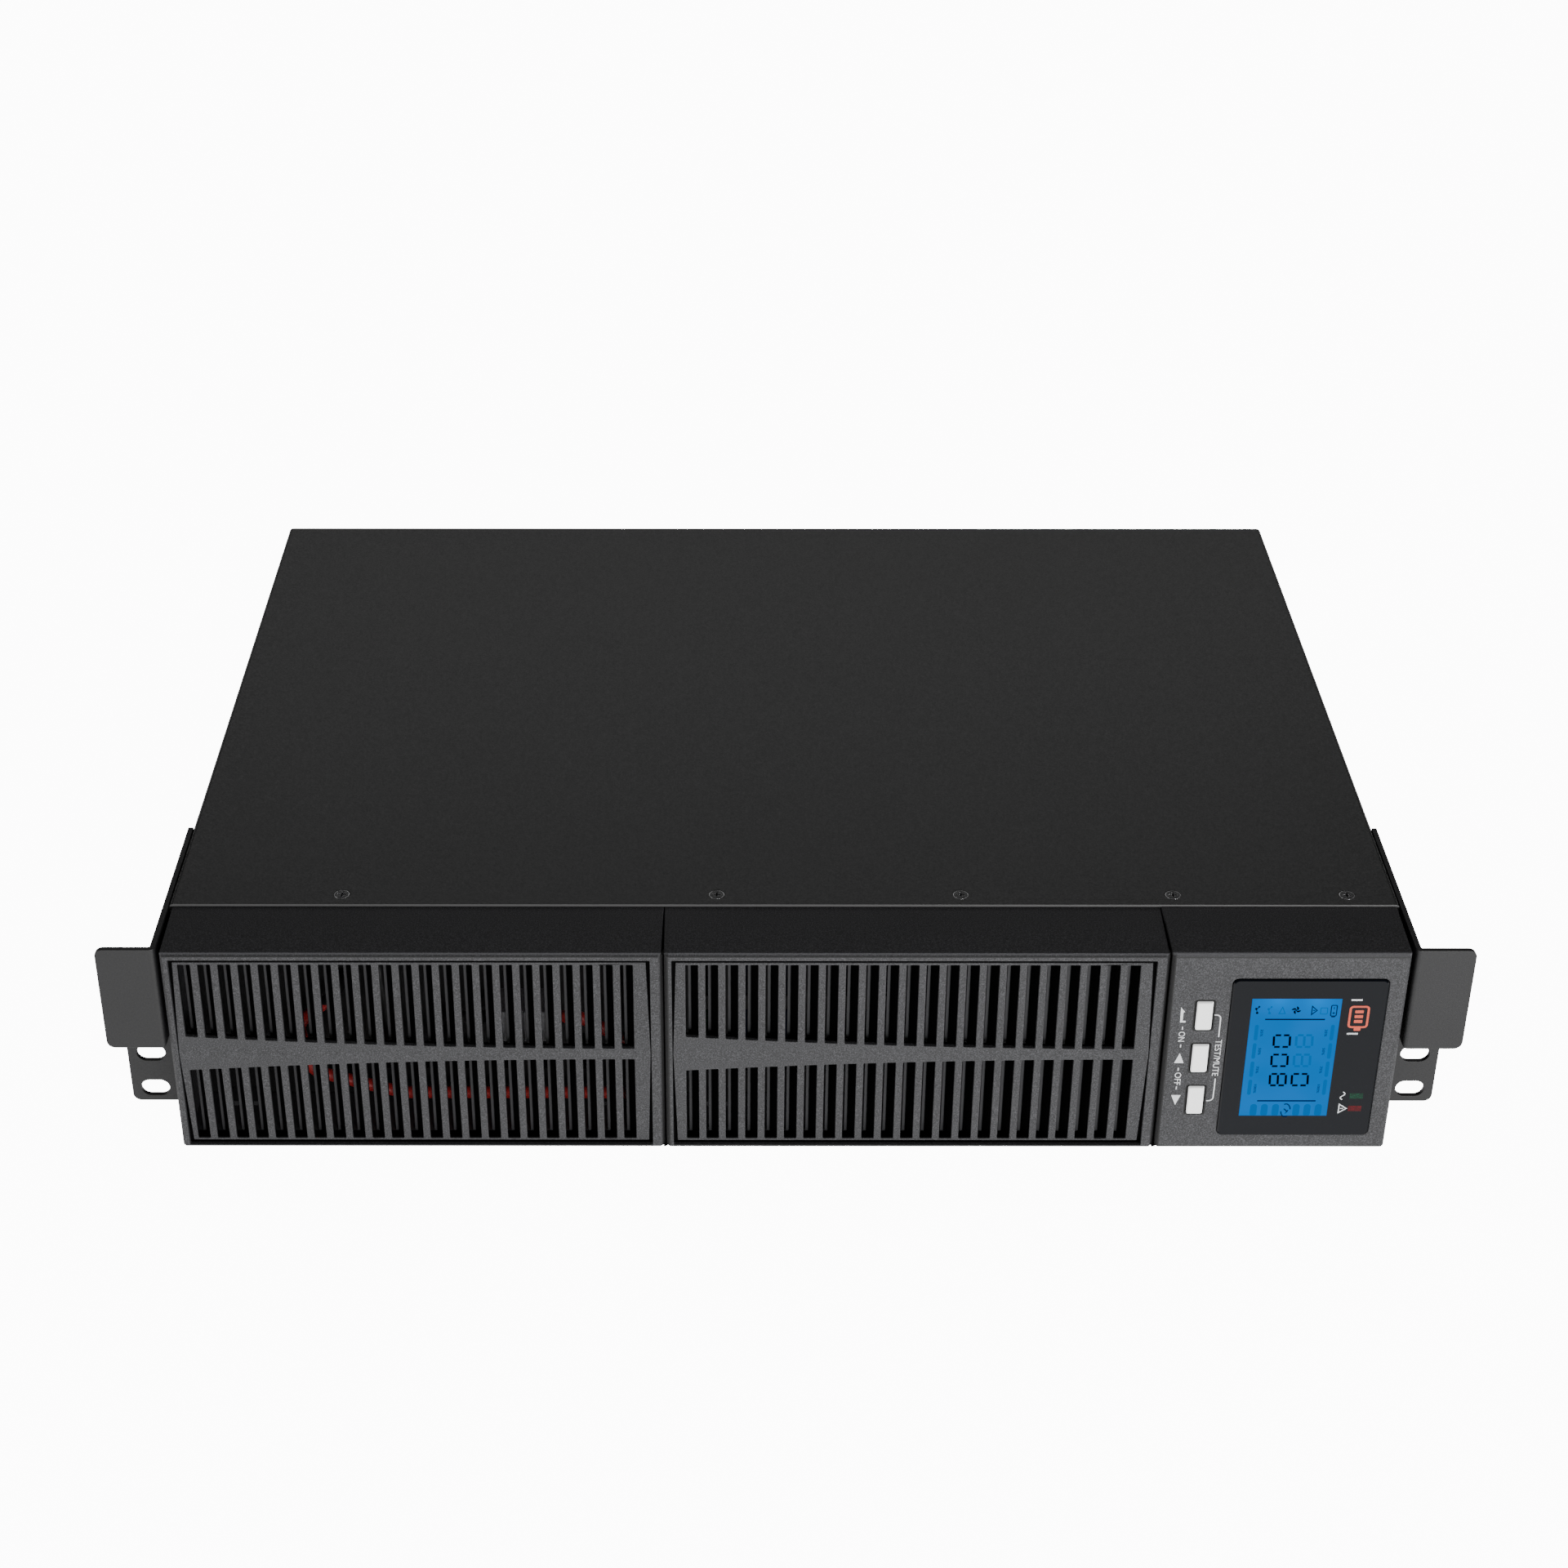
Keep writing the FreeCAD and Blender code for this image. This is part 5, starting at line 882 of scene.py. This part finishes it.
def digit(centre, character, wide=5.1, tall=5.9):
    """Seven-segment bars; the digit's top faces +X and it reads downwards. The left side is uppermost."""
    x0, x1 = centre[0] - tall / 2, centre[0] + tall / 2
    z0, z1 = centre[1] + wide / 2, centre[1] - wide / 2
    mid, thick, gap, lean = centre[0], 0.8, 0.5, 0.22
    bars = {
        "a": [(x1 - lean, z0 - gap), (x1, z1 + gap)],
        "g": [(mid - lean / 2, z0 - gap), (mid + lean / 2, z1 + gap)],
        "d": [(x0, z0 - gap), (x0 + lean, z1 + gap)],
        "f": [(mid + gap, z0), (x1 - gap, z0)],
        "e": [(x0 + gap, z0), (mid - gap, z0)],
        "b": [(mid + gap, z1), (x1 - gap, z1)],
        "c": [(x0 + gap, z1), (mid - gap, z1)],
    }
    return [quad for bar in SEGMENTS[character] for quad in ribbon(bars[bar], thick)]


def display_graphics():
    """What the liquid crystal shows, turned a quarter: icons, rules, digits, scales, unlit segments."""
    dark = segment("segment_dark", (0.0004, 0.001, 0.004))
    deep = segment("segment_deep", (0.0003, 0.012, 0.06))
    ghost = segment("segment_ghost", (0.0001, 0.155, 0.52))
    digits = digit((176.35, 48.05), "0") + digit((176.4, 39.55), "0") + digit((176.65, 31.0), "8")
    digits += digit((184.5, 31.0), "0")
    icons = list(arrow_plug((166.25, 61.5)))
    icons += fan_icon((180.1, 61.5))
    printed("lcd_segments", digits + icons, DISPLAY_PRINT, "lcd_blue", dark)

    rules = ribbon([(169.5, 57.5), (190.6, 57.5)], 0.55) + ribbon([(170.2, 21.5), (191.2, 21.5)], 0.55)
    marks = ribbon([(185.6, 63.2), (185.6, 59.6), (187.45, 61.4)], 0.34, closed=True)
    marks += ribbon([(186.0, 61.4), (186.75, 61.4)], 0.3)
    marks += ribbon(rounded_box(192.35, 59.0, 194.35, 63.6, 0.45), 0.34, closed=True)
    marks += ribbon([(193.35, 62.0), (193.35, 62.8)], 0.25)
    marks += ribbon([(193.35, 59.8), (193.35, 60.7)], 0.25) + ribbon([(192.9, 60.25), (193.8, 60.25)], 0.25)
    marks += ribbon([(192.9, 59.0), (192.9, 58.6), (193.8, 58.6), (193.8, 59.0)], 0.3)
    marks += ribbon(arc((180.8, 17.2), (1.65, 2.9), 10, 115), 0.38)
    marks += ribbon(arc((180.8, 17.2), (1.65, 2.9), 190, 300), 0.38)
    marks += ribbon([(180.2, 17.9), (181.4, 16.7), (180.9, 16.0), (181.7, 17.3)], 0.4)
    printed("lcd_marks", rules + marks, DISPLAY_PRINT, "lcd_blue", deep)
    for column in (168.45, 191.15):
        for row, text in enumerate(("25%", "50%", "75%", "100%")):
            reach = 3.0 if row < 3 else 3.7
            lettering(f"lcd_scale_{round(column)}_{row}", text, (column, 53.1 - row * 8.1), 0.85, reach,
                      DISPLAY_PRINT, "lcd_blue", deep)

    faint = []
    for column in (166.9, 193.75):
        for row in range(4):
            top = 55.1 - row * 8.05
            faint.append(rounded_box(column - 0.62, top - 6.7, column + 0.62, top, 0.6))
    for centre in ((184.3, 48.05), (184.4, 39.55)):
        faint += digit(centre, "8")
    faint += [rounded_box(x - 1.2, 14.6, x + 1.2, 20.0, 1.15)
              for x in (169.2, 173.1, 177.1, 184.6, 188.5, 192.5)]
    faint += ribbon([(174.1, 60.0), (176.3, 60.0), (175.2, 62.8)], 0.3, closed=True)
    faint += ribbon(rounded_box(188.7, 59.8, 191.1, 62.5, 0.3), 0.3, closed=True)
    faint += list(arrow_plug((170.6, 61.4)))
    printed("lcd_ghosts", faint, DISPLAY_PRINT, "lcd_blue", ghost, thick=0.015)


def arrow_plug(centre):
    """Three dots on short arms."""
    x, z = centre
    ends = [(x + 0.65, z + 1.45), (x - 0.3, z + 0.55), (x + 0.15, z - 1.2)]
    for end, size in zip(ends, (0.36, 0.45, 0.45)):
        yield disc(end, size)
    yield from ribbon([ends[0], (x - 0.2, z + 0.3), ends[2]], 0.25)


def fan_icon(centre):
    """Four curved blades round a hub."""
    blades = [disc(centre, 0.3)]
    for turn in range(4):
        inner, outer = [], []
        for step in range(7):
            out = 0.35 + 1.35 * step / 6
            angle = math.radians(30 + 90 * turn + 55 * step / 6)
            spread = math.radians(30) * math.sin(math.pi * (0.25 + 0.75 * step / 6))
            for edge, turned in ((inner, angle - spread), (outer, angle + spread)):
                edge.append((centre[0] + out * math.cos(turned), centre[1] + out * math.sin(turned)))
        for i in range(6):
            blades.append([inner[i], inner[i + 1], outer[i + 1], outer[i]])
    return blades


def lamp_symbols():
    """A wave and a plain triangle beside the lamps, and a generic battery sign above them."""
    white = ink("symbol_white", (0.78, 0.8, 0.82))
    for lamp, level in (("lamp_green", 23.7), ("lamp_red", 18.1)):
        pane = [rounded_box(203.2, level - 1.2, 208.0, level + 1.2, 0.2)]
        printed(f"{lamp}_window", pane, LENS_FACE, lamp, MATERIALS[lamp], thick=0.02)
    wave = [(200.65 + 0.75 * math.sin(math.radians(t)), 23.8 + 1.75 - 3.5 * t / 360)
            for t in range(0, 361, 20)]
    triangle = ribbon([(199.9, 20.0), (199.9, 16.2), (202.6, 18.1)], 0.42, closed=True)
    strokes = ribbon([(200.35, 18.1), (201.5, 18.1)], 0.3)
    bars = ribbon([(199.0, 65.9), (202.9, 65.9)], 0.7) + ribbon([(199.0, 51.3), (202.9, 51.3)], 0.7)
    signs = ribbon(wave, 0.42) + triangle + strokes + bars
    printed("lens_symbols", signs, LENS_FACE, "key_white", white, thick=0.02)
    orange = ink("sign_orange", (0.72, 0.085, 0.035))
    cell = ribbon(rounded_box(199.2, 54.2, 205.6, 63.0, 1.0), 0.8, closed=True)
    knob = [rounded_box(201.2, 52.6, 203.6, 53.8, 0.3)]
    charge = [rounded_box(200.9, low, 203.9, low + 1.3, 0.25) for low in (56.0, 58.1, 60.2)]
    printed("lens_sign", cell + knob + charge, LENS_FACE, "key_white", orange, thick=0.02)


add_camera()
add_studio()
MATERIALS = make_materials()
lens()
display_graphics()
lamp_symbols()
key_legends()
refine_all()
screw_rims()
seam_ribs()
